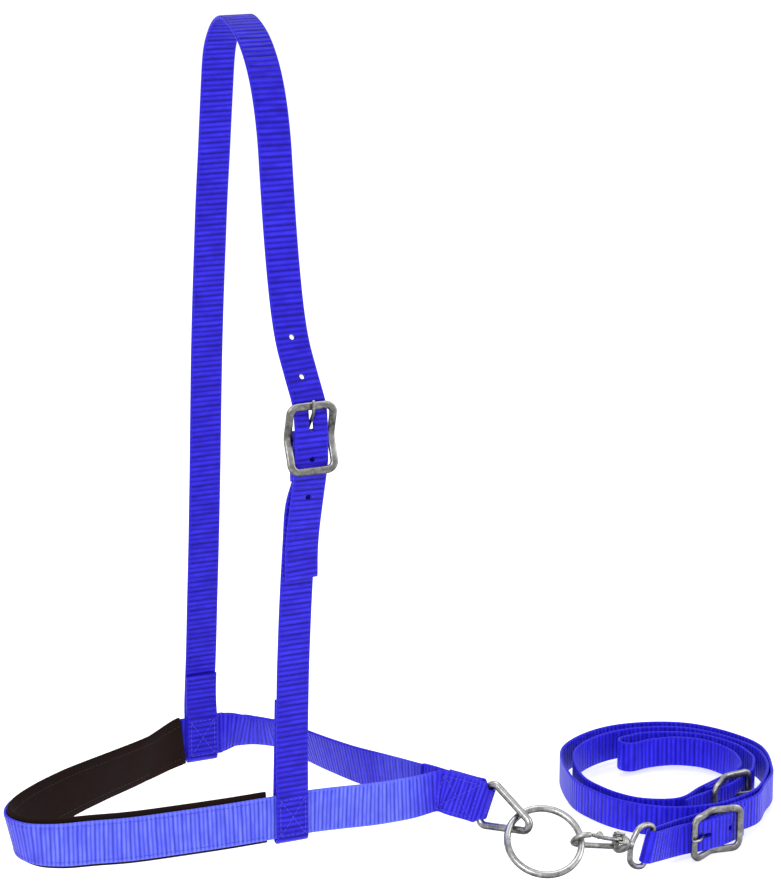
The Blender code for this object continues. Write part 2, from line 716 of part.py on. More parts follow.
# The main strap lies in this many degrees and millimetres round the coil's centre
COIL = [
    (-74, 79), (-60, 72), (-38, 68.5), (0, 68), (45, 66), (90, 63), (135, 62), (180, 63), (205, 69),
    (225, 75), (245, 78.5), (265, 77.5), (285, 73.5), (300, 70), (330, 65.3), (360, 62.4), (405, 58),
    (450, 54), (495, 53.5), (540, 56), (565, 61), (585, 66), (600, 66.5), (612, 63),
]
LOOP = [(-32, 49), (-8, 47.5), (20, 44.5), (45, 39.5), (70, 33.5), (92, 30)]  # on from the rear buckle
RETURN = [(92, 43), (70, 46), (35, 51), (5, 55), (-18, 57.5), (-30, 57)]  # and back to it


def buckle_axes(at, heading, towards):
    """A tie-down buckle lies on its side: its x axis is up, its y axis points to the billet."""
    out = Vector((math.sin(heading), -math.cos(heading), 0))
    along = Vector((math.cos(heading), math.sin(heading), 0)) * towards
    return axes(at, along.cross(out), out)


FRONT_BUCKLE = buckle_axes(FRONT_BUCKLE_AT, FRONT_BUCKLE_HEADING, -1)
REAR_BUCKLE = buckle_axes(REAR_BUCKLE_AT, REAR_BUCKLE_HEADING, 1)


def round_coil(places):
    """Points round the coil's centre from (degrees, radius) pairs."""
    return [
        COIL_CENTRE + Vector((math.cos(math.radians(a)), math.sin(math.radians(a)), 0)) * r
        for a, r in places
    ]


def eye_fold():
    """The strap round the eye's bar, from the billet layer to the main layer."""
    turn = EYE_WIRE / 2 + GAP + WEB / 2
    near = snap_along.cross(eye_up)
    return [
        EYE_BAR - snap_along * (turn * math.sin(a)) + near * (turn * math.cos(a))
        for a in (math.pi * k / 8 for k in range(9))
    ]


def tie_down_route():
    """Tip, snap-end buckle, snap eye, two turns of coil, loop-end buckle, loop and back to a tip."""
    front = side([(-25, 1.2), *billet_route()[::-1][1:-2], (27, 2.2)], FRONT_BUCKLE)
    fold = eye_fold()
    under = [(y, UNDER_BUCKLE) for y in (21, 14, 7, 0, -7, -13, -18)]
    main = side(under, FRONT_BUCKLE)
    rear = side(under[::-1], REAR_BUCKLE)
    back = side([(28, 1.8), *billet_route()[2:-1], (-30, 1.0), (-40, 0.2)], REAR_BUCKLE)
    bend = round_coil(LOOP[-1:] + RETURN[:1])
    middle = (bend[0] + bend[1]) / 2
    out = (bend[0] - middle).length
    radial = (bend[0] - middle).normalized()
    tangent = radial.cross(UP) * -1
    u_turn = [
        middle + radial * out * math.cos(a) - tangent * out * math.sin(a)
        for a in (math.pi * k / 8 for k in range(1, 8))
    ]
    route = smooth([*front, fold[0] + (front[-1] - fold[0]) * 0.35], 5)[:-1]
    route += [p for p in fold]
    route += smooth([fold[-1] + (main[0] - fold[-1]) * 0.4, *main, *round_coil(COIL), *rear,
                     *round_coil(LOOP)], 7)
    route += u_turn
    route += smooth([*round_coil(RETURN), *back], 7)
    return route


def tie_down_across(route):
    """On edge everywhere, but square to the tilted eye bar where it folds round it."""
    return [eye_up.lerp(UP, min(1, max(0, (p.x - EYE_BAR.x - 4) / 26))).normalized() for p in route]


def make_tie_down():
    route = tie_down_route()
    across = tie_down_across(route)
    strap = strip("tie_down_strap", route, across, STRAP_WIDTH, WEB, webbing("tie_down_strap"))
    billet_holes(strap, FRONT_BUCKLE, route[:22], across, (-1, 0))
    billet_holes(strap, REAR_BUCKLE, route[-22:], across[-22:], (-1, 0, 1))
    return strap


def make_chape(name, place):
    """The short folded tab that ties a buckle's bar to the strap."""
    across = (place.to_3x3() @ ALONG_X).normalized()
    strap = strip(name, side(wrap_route(15), place), across, STRAP_WIDTH, WEB, webbing(name))
    tongue_slot(strap, place)
    return strap


make_noseband()
make_lining()
make_near_cheek()
make_crown()
buckle_frame("cheek_buckle_frame", CHEEK_BUCKLE)
buckle_tongue("cheek_buckle_tongue", CHEEK_BUCKLE)
make_triangle()
make_ring()
make_snap_body()
gate_pivot = pivot("snap_gate_pivot", SNAP_PLACE @ Matrix.Translation(GATE_PIVOT * MM))
make_gate(gate_pivot)
make_rivet()
make_spring()
make_eye()
make_tie_down()
for end, place in (("snap_end", FRONT_BUCKLE), ("loop_end", REAR_BUCKLE)):
    buckle_frame(end + "_buckle_frame", place)
    buckle_tongue(end + "_buckle_tongue", place)
    make_chape(end + "_buckle_chape", place)
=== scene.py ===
"""Horse noseband and tie-down set: the visual model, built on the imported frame."""

import math
import random

import bmesh
import bpy
from mathutils import Matrix, Vector


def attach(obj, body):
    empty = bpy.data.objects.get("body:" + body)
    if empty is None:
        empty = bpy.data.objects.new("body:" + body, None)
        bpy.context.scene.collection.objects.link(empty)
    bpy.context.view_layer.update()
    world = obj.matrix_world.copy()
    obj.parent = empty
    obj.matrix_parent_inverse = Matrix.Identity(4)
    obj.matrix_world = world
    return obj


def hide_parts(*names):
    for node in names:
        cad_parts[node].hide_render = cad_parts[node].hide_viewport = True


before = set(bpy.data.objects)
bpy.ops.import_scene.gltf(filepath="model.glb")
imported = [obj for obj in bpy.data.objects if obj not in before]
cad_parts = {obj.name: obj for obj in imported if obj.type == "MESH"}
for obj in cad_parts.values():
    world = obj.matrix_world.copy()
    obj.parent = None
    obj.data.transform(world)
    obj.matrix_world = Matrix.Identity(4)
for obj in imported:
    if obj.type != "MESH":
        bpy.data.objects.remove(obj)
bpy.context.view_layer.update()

MM = 0.001
UP = Vector((0, 0, 1))
ALONG_X = Vector((1, 0, 0))
WEB = 1.8
GAP = 0.3
BAND_WIDTH = 25.4
STRAP_WIDTH = 19.05
LINING_WIDTH = 30.0
LINING_THICKNESS = 3.0
HOLE_PITCH = 22.2
HOLE_WIDTH = 3.0
HOLE_CUT = 5.6  # deep enough for one layer of strap and no more
BAND_BOTTOM = -446.0
BAND_MIDDLE = BAND_BOTTOM + BAND_WIDTH / 2
TIE_DOWN_MIDDLE = -477.5
FLOOR = -492.3  # under the tie-down buckles, the lowest pieces


def finished(name, shape):
    """A new object from a bmesh, which is used up."""
    mesh = bpy.data.meshes.new(name)
    shape.to_mesh(mesh)
    shape.free()
    made = bpy.data.objects.new(name, mesh)
    bpy.context.scene.collection.objects.link(made)
    return made


# --- Camera, light and floor -----------------------------------------------------------------


def look(location, forward):
    data = bpy.data.cameras.new("camera")
    data.lens = 118.8
    data.sensor_width = 36
    data.clip_start = 0.05
    data.clip_end = 60
    camera = bpy.data.objects.new("camera", data)
    bpy.context.scene.collection.objects.link(camera)
    camera.location = location
    camera.rotation_mode = "QUATERNION"
    camera.rotation_quaternion = Vector(forward).to_track_quat("-Z", "Y")
    bpy.context.scene.camera = camera


def softbox(name, location, target, size, power, colour=(1, 1, 1)):
    data = bpy.data.lights.new(name, "AREA")
    data.shape = "RECTANGLE"
    data.size, data.size_y = size
    data.energy = power
    data.color = colour
    lamp = bpy.data.objects.new(name, data)
    bpy.context.scene.collection.objects.link(lamp)
    lamp.location = location
    lamp.rotation_euler = (Vector(target) - Vector(location)).to_track_quat("-Z", "Y").to_euler()


def set_stage():
    azimuth, elevation = math.radians(-25), math.radians(15)
    level = math.cos(elevation)
    forward = (-math.sin(azimuth) * level, math.cos(azimuth) * level, -math.sin(elevation))
    look((-0.5890, -1.4578, 0.1852), forward)
    middle = (0.05, 0, -0.3)
    softbox("key", (-1.5, -1.7, 0.9), middle, (1.3, 1.6), 34)
    softbox("right", (1.9, -1.2, 0.5), middle, (1.0, 1.6), 16)
    softbox("top", (0.2, 0.5, 1.7), middle, (1.6, 1.6), 15)
    world = bpy.data.worlds.new("studio")
    bpy.context.scene.world = world
    world.use_nodes = True
    sky = world.node_tree.nodes["Background"]
    sky.inputs["Color"].default_value = (0.96, 0.97, 1, 1)
    sky.inputs["Strength"].default_value = 0.62
    shape = bmesh.new()
    bmesh.ops.create_grid(shape, x_segments=1, y_segments=1, size=12)
    ground = finished("floor", shape)
    ground.location = (0, 0, FLOOR * MM)
    paint = bpy.data.materials.new("floor")
    paint.use_nodes = True
    shader = paint.node_tree.nodes["Principled BSDF"]
    shader.inputs["Base Color"].default_value = (0.93, 0.93, 0.93, 1)
    shader.inputs["Roughness"].default_value = 0.9
    shader.inputs["Specular IOR Level"].default_value = 0.1
    shader.inputs["Emission Color"].default_value = (1, 1, 1, 1)
    shader.inputs["Emission Strength"].default_value = 0.5
    ground.data.materials.append(paint)


# --- Materials -------------------------------------------------------------------------------


class Nodes:
    """A short way to write a shader's node tree."""

    def __init__(self, name):
        self.material = bpy.data.materials.new(name)
        self.material.use_nodes = True
        self.tree = self.material.node_tree
        self.shader = self.tree.nodes["Principled BSDF"]

    def fixed(self, **values):
        """Values that are the same all over, on the shader's own sockets."""
        for name, value in values.items():
            self.shader.inputs[name.replace("_", " ")].default_value = value

    def node(self, kind):
        return self.tree.nodes.new("ShaderNode" + kind)

    def put(self, socket, value):
        if isinstance(value, bpy.types.NodeSocket):
            self.tree.links.new(value, socket)
        else:
            socket.default_value = value

    def math(self, operation, *values):
        node = self.node("Math")
        node.operation = operation
        for socket, value in zip(node.inputs, values):
            self.put(socket, value)
        return node.outputs[0]

    def noise(self, place, scale, detail=3.0, roughness=0.6):
        node = self.node("TexNoise")
        self.put(node.inputs["Vector"], place)
        node.inputs["Scale"].default_value = scale
        node.inputs["Detail"].default_value = detail
        node.inputs["Roughness"].default_value = roughness
        return node.outputs["Fac"]

    def ramp(self, value, *stops):
        node = self.node("ValToRGB")
        self.put(node.inputs["Fac"], value)
        marks = node.color_ramp.elements
        while len(marks) < len(stops):
            marks.new(0.5)
        for mark, (at, colour) in zip(marks, stops):
            mark.position = at
            mark.color = (*colour, 1)
        return node.outputs["Color"]

    def span(self, value, low, high, to_low, to_high):
        node = self.node("MapRange")
        for socket, each in zip(node.inputs, (value, low, high, to_low, to_high)):
            self.put(socket, each)
        return node.outputs[0]

    def uv(self):
        node = self.node("UVMap")
        node.uv_map = "strap"
        split = self.node("SeparateXYZ")
        self.tree.links.new(node.outputs["UV"], split.inputs[0])
        return node.outputs["UV"], split.outputs["X"], split.outputs["Y"]

    def join(self, x, y, z=0.0):
        node = self.node("CombineXYZ")
        for socket, each in zip(node.inputs, (x, y, z)):
            self.put(socket, each)
        return node.outputs[0]

    def drawn_out(self, along, per_along, across, per_across, detail):
        """Noise on a strap, scaled by itself along and across it."""
        x = self.math("MULTIPLY", along, per_along)
        return self.noise(self.join(x, self.math("MULTIPLY", across, per_across)), 1.0, detail)

    def painted_highlight_near_side(self, shade, colour, highlight_colours):
        """The near run of the noseband is the palest: a painted highlight, mixed in by place."""
        place = self.node("SeparateXYZ")
        self.tree.links.new(self.object_place(), place.inputs[0])
        x, y = place.outputs[0], place.outputs[1]
        # painted highlight: the near run, up to the chin tab, is mixed towards paler, lit colours
        wear_and_highlight = self.math(
            "MULTIPLY", self.span(y, -0.044, -0.02, 1.0, 0.0), self.span(x, 0.066, 0.088, 1.0, 0.0)
        )
        blend = self.node("Mix")
        blend.data_type = "RGBA"
        deep, mid, light = highlight_colours
        self.put(blend.inputs[0], wear_and_highlight)
        self.tree.links.new(colour, blend.inputs[6])
        self.tree.links.new(self.ramp(shade, (0.22, deep), (0.6, mid), (1.0, light)), blend.inputs[7])
        return blend.outputs[2]

    def object_place(self):
        return self.node("TexCoord").outputs["Object"]

    def bump(self, height, distance, strength=1.0, below=None):
        node = self.node("Bump")
        node.inputs["Strength"].default_value = strength
        node.inputs["Distance"].default_value = distance
        self.put(node.inputs["Height"], height)
        if below:
            self.tree.links.new(below, node.inputs["Normal"])
        return node.outputs["Normal"]


def webbing_paint(name, half_width, deep, mid, light, pitch=3.0, highlight_colours=None):
    """Ribbed nylon: a rounded rib every pitch, every other one fuller, with plain selvedges."""
    n = Nodes(name)
    _, along, across = n.uv()
    wander = n.drawn_out(along, 0.02, across, 0.05, 1.0)
    run = n.math("ADD", along, n.math("MULTIPLY", wander, 0.6))
    rib = n.math("DIVIDE", n.math("PINGPONG", run, pitch / 2), pitch / 2)
    rib = n.math("POWER", n.math("MAXIMUM", rib, 0.0001), 0.55)
    pair = n.math("DIVIDE", n.math("PINGPONG", run, pitch), pitch)
    which = n.math("FLOOR", n.math("DIVIDE", run, pitch))
    uneven = n.drawn_out(which, 7.31, across, 0.05, 2.0)
    yarn = n.drawn_out(along, 1.1, across, 6.5, 2.0)
    edge = n.span(n.math("ABSOLUTE", across), half_width - 1.5, half_width - 0.9, 0.0, 1.0)
    height = n.math("ADD", n.math("MULTIPLY", rib, n.span(uneven, 0.3, 0.7, 0.62, 1.0)),
                    n.math("MULTIPLY", pair, 0.22))
    height = n.math("ADD", height, n.math("MULTIPLY", yarn, 0.16))
    tooth = n.math("ADD", 0.55, n.math("MULTIPLY", rib, 0.4))
    blend = n.node("Mix")
    n.put(blend.inputs[0], edge)
    n.put(blend.inputs[2], height)
    n.put(blend.inputs[3], tooth)
    height = blend.outputs[0]
    # colour from the rib relief: painted shade in the grooves and a painted highlight on the crowns, with
    # random yarn tone
    shade = n.math("ADD", n.math("MULTIPLY", height, 0.72), n.math("MULTIPLY", uneven, 0.22))
    shade = n.math("ADD", shade, n.math("MULTIPLY", yarn, 0.12))
    colour = n.ramp(shade, (0.22, deep), (0.6, mid), (1.0, light))
    # a painted highlight on the noseband's near run, where one is given
    if highlight_colours:
        colour = n.painted_highlight_near_side(shade, colour, highlight_colours)
    n.put(n.shader.inputs["Base Color"], colour)
    n.put(n.shader.inputs["Roughness"], n.span(yarn, 0.3, 0.7, 0.34, 0.5))
    n.fixed(Specular_IOR_Level=0.32, Specular_Tint=(0.35, 0.36, 1, 1),
            Sheen_Weight=0.05, Sheen_Roughness=0.45, Sheen_Tint=(0.35, 0.42, 1, 1))
    n.put(n.shader.inputs["Normal"], n.bump(height, 0.0006, 1.0))
    return n.material


def thread_paint(name, deep, light):
    n = Nodes(name)
    _, along, across = n.uv()
    twist = n.math("SINE", n.math("MULTIPLY", n.math("ADD", along, across), 9.0))
    # colour along the twist: painted shade between the plies and a painted highlight on them
    shade = n.span(twist, -1.0, 1.0, 0.0, 1.0)
    n.put(n.shader.inputs["Base Color"], n.ramp(shade, (0.0, deep), (1.0, light)))
    n.shader.inputs["Roughness"].default_value = 0.5
    n.put(n.shader.inputs["Normal"], n.bump(twist, 0.00006))
    return n.material


def lining_paint():
    """A dark, slightly fuzzy lining with a maroon cast where light grazes it."""
    n = Nodes("lining")
    place = n.object_place()
    fine = n.noise(place, 1900.0, 2.0)
    broad = n.noise(place, 60.0, 3.0)
    mix = n.math("ADD", n.math("MULTIPLY", fine, 0.5), n.math("MULTIPLY", broad, 0.5))
    n.put(n.shader.inputs["Base Color"], n.ramp(
        mix, (0.32, (0.003, 0.0012, 0.0006)), (0.52, (0.007, 0.0025, 0.001)), (0.72, (0.015, 0.005, 0.002))
    ))
    n.put(n.shader.inputs["Roughness"], n.span(broad, 0.3, 0.7, 0.78, 0.94))
    n.fixed(Specular_IOR_Level=0.12, Sheen_Weight=0.03, Sheen_Roughness=0.6, Sheen_Tint=(0.6, 0.2, 0.16, 1))
    pores = n.bump(fine, 0.00016)
    n.put(n.shader.inputs["Normal"], n.bump(broad, 0.0006, 0.5, below=pores))
    return n.material


def metal_paint(name, colour, rough, grain):
    """Nickel plate over cast or drawn metal: uneven gloss, faint casting grain, darker pits, painted light on
    tops and painted shade on undersides.
    """
    n = Nodes(name)
    place = n.object_place()
    fine = n.noise(place, 2600.0, 3.0)
    broad = n.noise(place, 190.0, 4.0)
    wear_and_highlight = n.noise(place, 420.0, 2.0, 0.8)
    r, g, b = colour
    # painted light and shade from the surface's facing: tops lighter, undersides darker
    split = n.node("SeparateXYZ")
    n.tree.links.new(n.node("NewGeometry").outputs["Normal"], split.inputs[0])
    painted_light_and_shade = n.span(split.outputs[2], -0.35, 0.7, 0.0, 0.36)
    mottle = n.math("ADD", n.math("MULTIPLY", wear_and_highlight, 0.33), n.math("MULTIPLY", broad, 0.33))
    n.put(n.shader.inputs["Base Color"], n.ramp(
        n.math("ADD", mottle, painted_light_and_shade),
        (0.28, (r * 0.1, g * 0.1, b * 0.1)),
        (0.46, (r * 0.55, g * 0.545, b * 0.54)),
        (0.7, (r * 1.7, g * 1.7, b * 1.68)),
    ))
    n.fixed(Metallic=1.0)
    n.put(n.shader.inputs["Roughness"], n.span(broad, 0.3, 0.7, rough - 0.06, rough + 0.12))
    coarse = n.bump(broad, grain * 3, 0.5)
    n.put(n.shader.inputs["Normal"], n.bump(fine, grain, 0.8, below=coarse))
    return n.material


STRAP = webbing_paint(
    "strap_webbing", STRAP_WIDTH / 2, (0.004, 0.001, 0.11), (0.013, 0.004, 0.38), (0.03, 0.022, 0.66)
)
# noseband webbing, with a painted highlight on its near run
BAND = webbing_paint(
    "band_webbing", BAND_WIDTH / 2, (0.008, 0.004, 0.2), (0.02, 0.009, 0.5), (0.045, 0.04, 0.75),
    highlight_colours=((0.026, 0.028, 0.4), (0.07, 0.085, 0.66), (0.16, 0.2, 0.88)), pitch=2.4,
)
LEAD = webbing_paint(
    "tie_down_webbing", STRAP_WIDTH / 2, (0.004, 0.001, 0.16), (0.013, 0.006, 0.5), (0.032, 0.026, 0.82)
)
THREAD = thread_paint("thread", (0.02, 0.01, 0.42), (0.09, 0.1, 0.85))
DARK_THREAD = thread_paint("dark_thread", (0.006, 0.003, 0.003), (0.014, 0.008, 0.007))
LINING = lining_paint()
WIRE = metal_paint("wire_metal", (0.33, 0.33, 0.32), 0.27, 0.00001)
CAST = metal_paint("cast_metal", (0.31, 0.305, 0.29), 0.34, 0.00004)


# --- Placing, curves and meshes --------------------------------------------------------------


def axes(origin, x, z):
    """A placing matrix in metres from an origin in millimetres, an x axis and a z axis."""
    z = z.normalized()
    x = (x - z * x.dot(z)).normalized()
    turn = Matrix((x, z.cross(x), z)).transposed().to_4x4()
    return Matrix.Translation(origin * MM) @ turn


def smooth(points, step=1.0):
    """Points every millimetre or so along a Catmull-Rom curve through the given ones."""
    points = [Vector(p) for p in points]
    ends = [points[0] * 2 - points[1], *points, points[-1] * 2 - points[-2]]
    path = []
    for a, b, c, d in zip(ends, ends[1:], ends[2:], ends[3:]):
        pieces = max(1, round((c - b).length / step))
        for k in range(pieces):
            t = k / pieces
            path.append(
                0.5 * (2 * b + (c - a) * t + (2 * a - 5 * b + 4 * c - d) * t**2
                       + (3 * b - a - 3 * c + d) * t**3)
            )
    return path + [points[-1]]


def arc(centre, radius, start, end, pieces=16):
    """2D points round a centre, by angles in degrees."""
    angles = [math.radians(start + (end - start) * k / pieces) for k in range(pieces + 1)]
    return [(centre[0] + radius * math.cos(a), centre[1] + radius * math.sin(a)) for a in angles]


def side(points, place):
    """World points in millimetres for a route given as (along, off) in a buckle's axes."""
    return [(place @ (Vector((0, y, z)) * MM)) / MM for y, z in points]


def evenly(path, step):
    """The same line with points at an even spacing."""
    lengths = [0.0]
    for a, b in zip(path, path[1:]):
        lengths.append(lengths[-1] + (b - a).length)
    count = max(2, round(lengths[-1] / step))
    made = []
    k = 0
    for i in range(count + 1):
        want = lengths[-1] * i / count
        while k < len(path) - 2 and lengths[k + 1] < want:
            k += 1
        run = lengths[k + 1] - lengths[k]
        made.append(path[k].lerp(path[k + 1], (want - lengths[k]) / run if run else 0))
    return made, lengths[-1]


def relax(path, rounds):
    """Rounds off small kinks without moving the ends."""
    for _ in range(rounds):
        path = [path[0]] + [
            (a + b * 2 + c) / 4 for a, b, c in zip(path, path[1:], path[2:])
        ] + [path[-1]]
    return path


def strap_section(width, thickness):
    """The cut across a strap, from one selvedge round to the other: (across, off) pairs."""
    half, thin = width / 2, thickness / 2
    flat = [half - 0.75, half * 0.72, half * 0.36, 0.0]
    flat = flat + [-x for x in flat[-2::-1]]
    top = [(x, thin) for x in flat]
    edge = [(-half + 0.22, thin * 0.78), (-half, thin * 0.28), (-half, -thin * 0.28),
            (-half + 0.22, -thin * 0.78)]
    return top + edge + [(-x, -y) for x, y in top] + [(-x, -y) for x, y in edge]


def put(obj, paint, body, replaces=()):
    obj.data.materials.clear()
    obj.data.materials.append(paint)
    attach(obj, body)
    if replaces:
        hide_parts(*replaces)
    return obj


def ribbon(name, path, across, width, thickness=WEB, step=0.9, sealed=True, rounds=2, section=None):
    """Sweeps a strap along its centre line. Its UVs are millimetres along and across it."""
    path, length = evenly(path, step)
    path = relax(path, rounds)
    shape = bmesh.new()
    uv = shape.loops.layers.uv.new("strap")
    rows = []
    last = len(path) - 1
    for i, point in enumerate(path):
        heading = (path[min(i + 1, last)] - path[max(i - 1, 0)]).normalized()
        a = across(point, i / last) if callable(across) else across
        w = width(point) if callable(width) else width
        a = (a - heading * a.dot(heading)).normalized()
        off = heading.cross(a)
        thin = thickness
        if sealed:
            from_end = min(i, last - i) * step
            thin = thickness * (0.62 + 0.38 * min(1.0, from_end / 1.6))
        row = []
        for x, y in section or strap_section(w, thin):
            row.append((shape.verts.new((point + a * x + off * y) * MM), x))
        rows.append(row)
    at = 0.0
    count = len(rows[0])
    for i, (one, two) in enumerate(zip(rows, rows[1:])):
        step_here = (path[i + 1] - path[i]).length
        for k in range(count):
            m = (k + 1) % count
            face = shape.faces.new((one[k][0], one[m][0], two[m][0], two[k][0]))
            face.smooth = True
            marks = ((at, one[k][1]), (at, one[m][1]),
                     (at + step_here, two[m][1]), (at + step_here, two[k][1]))
            for loop, mark in zip(face.loops, marks):
                loop[uv].uv = mark
        at += step_here
    shape.faces.new([v for v, _ in rows[0]][::-1])
    shape.faces.new([v for v, _ in rows[-1]])
    bmesh.ops.recalc_face_normals(shape, faces=shape.faces)
    made = finished(name, shape)
    return made, length


def settle(obj):
    """Applies a piece's modifiers."""
    graph = bpy.context.evaluated_depsgraph_get()
    mesh = bpy.data.meshes.new_from_object(obj.evaluated_get(graph))
    obj.modifiers.clear()
    obj.data = mesh
    return obj


def bore(obj, cutters):
    """Takes the cutters out of a piece and removes them."""
    for cutter in cutters:
        hole = obj.modifiers.new("hole", "BOOLEAN")
        hole.operation = "DIFFERENCE"
        hole.solver = "EXACT"
        hole.object = cutter
    settle(obj)
    for cutter in cutters:
        bpy.data.objects.remove(cutter)


def pin(place, width, length, depth):
    """A cutter for a punched hole, longer along its place's y axis where it is a slot."""
    shape = bmesh.new()
    stretch = (length - width) / 2
    rim = [Vector((width / 2 * math.cos(a), width / 2 * math.sin(a) + math.copysign(stretch, math.sin(a)), 0))
           for a in (math.tau * (k + 0.5) / 20 for k in range(20))]
    low = [shape.verts.new((p + Vector((0, 0, -depth / 2))) * MM) for p in rim]
    high = [shape.verts.new((p + Vector((0, 0, depth / 2))) * MM) for p in rim]
    hoop(shape, low, high, smooth=False)
    shape.faces.new(low[::-1])
    shape.faces.new(high)
    made = finished("pin", shape)
    made.matrix_world = place
    return made


def tube(name, points, radius, closed=False, sides=14, place=None):
    """A round wire through points in millimetres, with rounded ends when it is open."""
    points = [Vector(p) for p in points]
    shape = bmesh.new()
    uv = shape.loops.layers.uv.new("strap")
    count = len(points)
    rows, marks, at = [], [], 0.0
    normal = None
    for i, point in enumerate(points):
        before = points[i - 1] if i or closed else point
        after = points[(i + 1) % count] if i < count - 1 or closed else point
        heading = (after - before).normalized()
        if normal is None:
            normal = heading.orthogonal().normalized()
        normal = (normal - heading * normal.dot(heading)).normalized()
        beside = heading.cross(normal)
        rows.append([
            shape.verts.new((point + (normal * math.cos(a) + beside * math.sin(a)) * radius) * MM)
            for a in (math.tau * k / sides for k in range(sides))
        ])
        marks.append(at)
        if i < count - 1:
            at += (points[i + 1] - point).length
    turn = 0
    if closed:
        turn = min(range(sides), key=lambda t: (rows[0][t].co - rows[-1][0].co).length)
    pairs = list(zip(rows, rows[1:], marks, marks[1:]))
    if closed:
        around = at + (points[0] - points[-1]).length
        pairs.append((rows[-1], rows[0][turn:] + rows[0][:turn], marks[-1], around))
    for one, two, start, stop in pairs:
        for k, face in enumerate(hoop(shape, one, two)):
            for loop, mark in zip(face.loops, ((start, k), (start, k + 1), (stop, k + 1), (stop, k))):
                loop[uv].uv = mark
    if not closed:
        for row, point, inside in ((rows[0], points[0], points[1]), (rows[-1], points[-1], points[-2])):
            way = (point - inside).normalized()
            ring = row
            for lift in (0.5, 0.8):
                shrink = math.sqrt(1 - lift * lift)
                inner = [shape.verts.new((point + way * radius * lift) * MM + (v.co - point * MM) * shrink)
                         for v in row]
                hoop(shape, ring, inner)
                ring = inner
            shape.faces.new(ring).smooth = True
    bmesh.ops.recalc_face_normals(shape, faces=shape.faces)
    made = finished(name, shape)
    made.matrix_world = place or Matrix()
    bpy.context.view_layer.update()
    return made


def hoop(shape, one, two, smooth=True):
    """The faces between two rings of points."""
    made = []
    for k in range(len(one)):
        m = (k + 1) % len(one)
        made.append(shape.faces.new((one[k], one[m], two[m], two[k])))
        made[-1].smooth = smooth
    return made


def lathe(name, profile, place, steps=36):
    """A turned piece: (radius, along) pairs spun round the place's x axis."""
    shape = bmesh.new()
    rings = []
    for r, x in profile:
        if r <= 0:
            rings.append([shape.verts.new((x * MM, 0, 0))])
        else:
            rings.append([
                shape.verts.new((x * MM, r * math.cos(a) * MM, r * math.sin(a) * MM))
                for a in (math.tau * k / steps for k in range(steps))
            ])
    for one, two in zip(rings, rings[1:]):
        for k in range(steps):
            m = (k + 1) % steps
            corners = [one[k % len(one)], one[m % len(one)], two[m % len(two)], two[k % len(two)]]
            corners = list(dict.fromkeys(corners))
            if len(corners) > 2:
                shape.faces.new(corners)
    bmesh.ops.recalc_face_normals(shape, faces=shape.faces)
    made = finished(name, shape)
    made.matrix_world = place
    return made


def slab(name, centre, size, place):
    """A block, used only inside a fused casting."""
    shape = bmesh.new()
    bmesh.ops.create_cube(shape, size=1)
    for v in shape.verts:
        v.co = Vector(v.co[k] * size[k] + centre[k] for k in range(3)) * MM
    made = finished(name, shape)
    made.matrix_world = place
    return made


def fuse(name, pieces, voxel, rounds=3, keep_out=()):
    """Melts overlapping solids into one casting with soft inner corners."""
    bpy.context.view_layer.update()
    shape = bmesh.new()
    for piece in pieces:
        part = piece.data.copy()
        part.transform(piece.matrix_world)
        shape.from_mesh(part)
        bpy.data.objects.remove(piece)
    made = finished(name, shape)
    melt = made.modifiers.new("melt", "REMESH")
    melt.mode = "VOXEL"
    melt.voxel_size = voxel * MM
    melt.use_smooth_shade = True
    soften = made.modifiers.new("soften", "SMOOTH")
    soften.factor = 0.5
    soften.iterations = rounds
    settle(made)
    if keep_out:
        bore(made, list(keep_out))
    for face in made.data.polygons:
        face.use_smooth = True
    return made


def stitches(name, lines, radius=0.24, length=2.3, space=0.55, wobble=0.12, seed=1):
    """Rows of thread: short capsules laid along lines of (point, outward normal) pairs."""
    rng = random.Random(seed)
    shape = bmesh.new()
    uv = shape.loops.layers.uv.new("strap")
    for line in lines:
        run = [0.0]
        for (a, _), (b, _) in zip(line, line[1:]):
            run.append(run[-1] + (b - a).length)

        def at(s):
            k = 0
            while k < len(line) - 2 and run[k + 1] < s:
                k += 1
            t = (s - run[k]) / max(0.0001, run[k + 1] - run[k])
            return line[k][0].lerp(line[k + 1][0], t), line[k][1].lerp(line[k + 1][1], t).normalized()

        count = max(1, round(run[-1] / (length + space)))
        pitch = run[-1] / count
        for i in range(count):
            start = i * pitch + space / 2
            stop = (i + 1) * pitch - space / 2
            rows = []
            for t, lift, fat in ((0, -0.6, 0.35), (0.1, -0.05, 0.85), (0.35, 0.35, 1), (0.65, 0.35, 1),
                                 (0.9, -0.05, 0.85), (1, -0.6, 0.35)):
                point, normal = at(start + (stop - start) * t)
                ahead, _ = at(min(run[-1], start + (stop - start) * t + 0.2))
                behind, _ = at(max(0, start + (stop - start) * t - 0.2))
                heading = (ahead - behind).normalized()
                beside = heading.cross(normal)
                centre = point + normal * radius * lift + beside * wobble * (rng.random() - 0.5)
                rows.append([
                    shape.verts.new(
                        (centre + (beside * math.cos(a) + normal * math.sin(a)) * radius * fat) * MM
                    )
                    for a in (math.tau * k / 7 for k in range(7))
                ])
            for j, (one, two) in enumerate(zip(rows, rows[1:])):
                for k, face in enumerate(hoop(shape, one, two)):
                    for loop, mark in zip(face.loops, ((j, k), (j, k + 1), (j + 1, k + 1), (j + 1, k))):
                        loop[uv].uv = Vector(mark) * 0.4
            shape.faces.new(rows[0])
            shape.faces.new(rows[-1])
    bmesh.ops.recalc_face_normals(shape, faces=shape.faces)
    return finished(name, shape)


# --- Buckles ---------------------------------------------------------------------------------

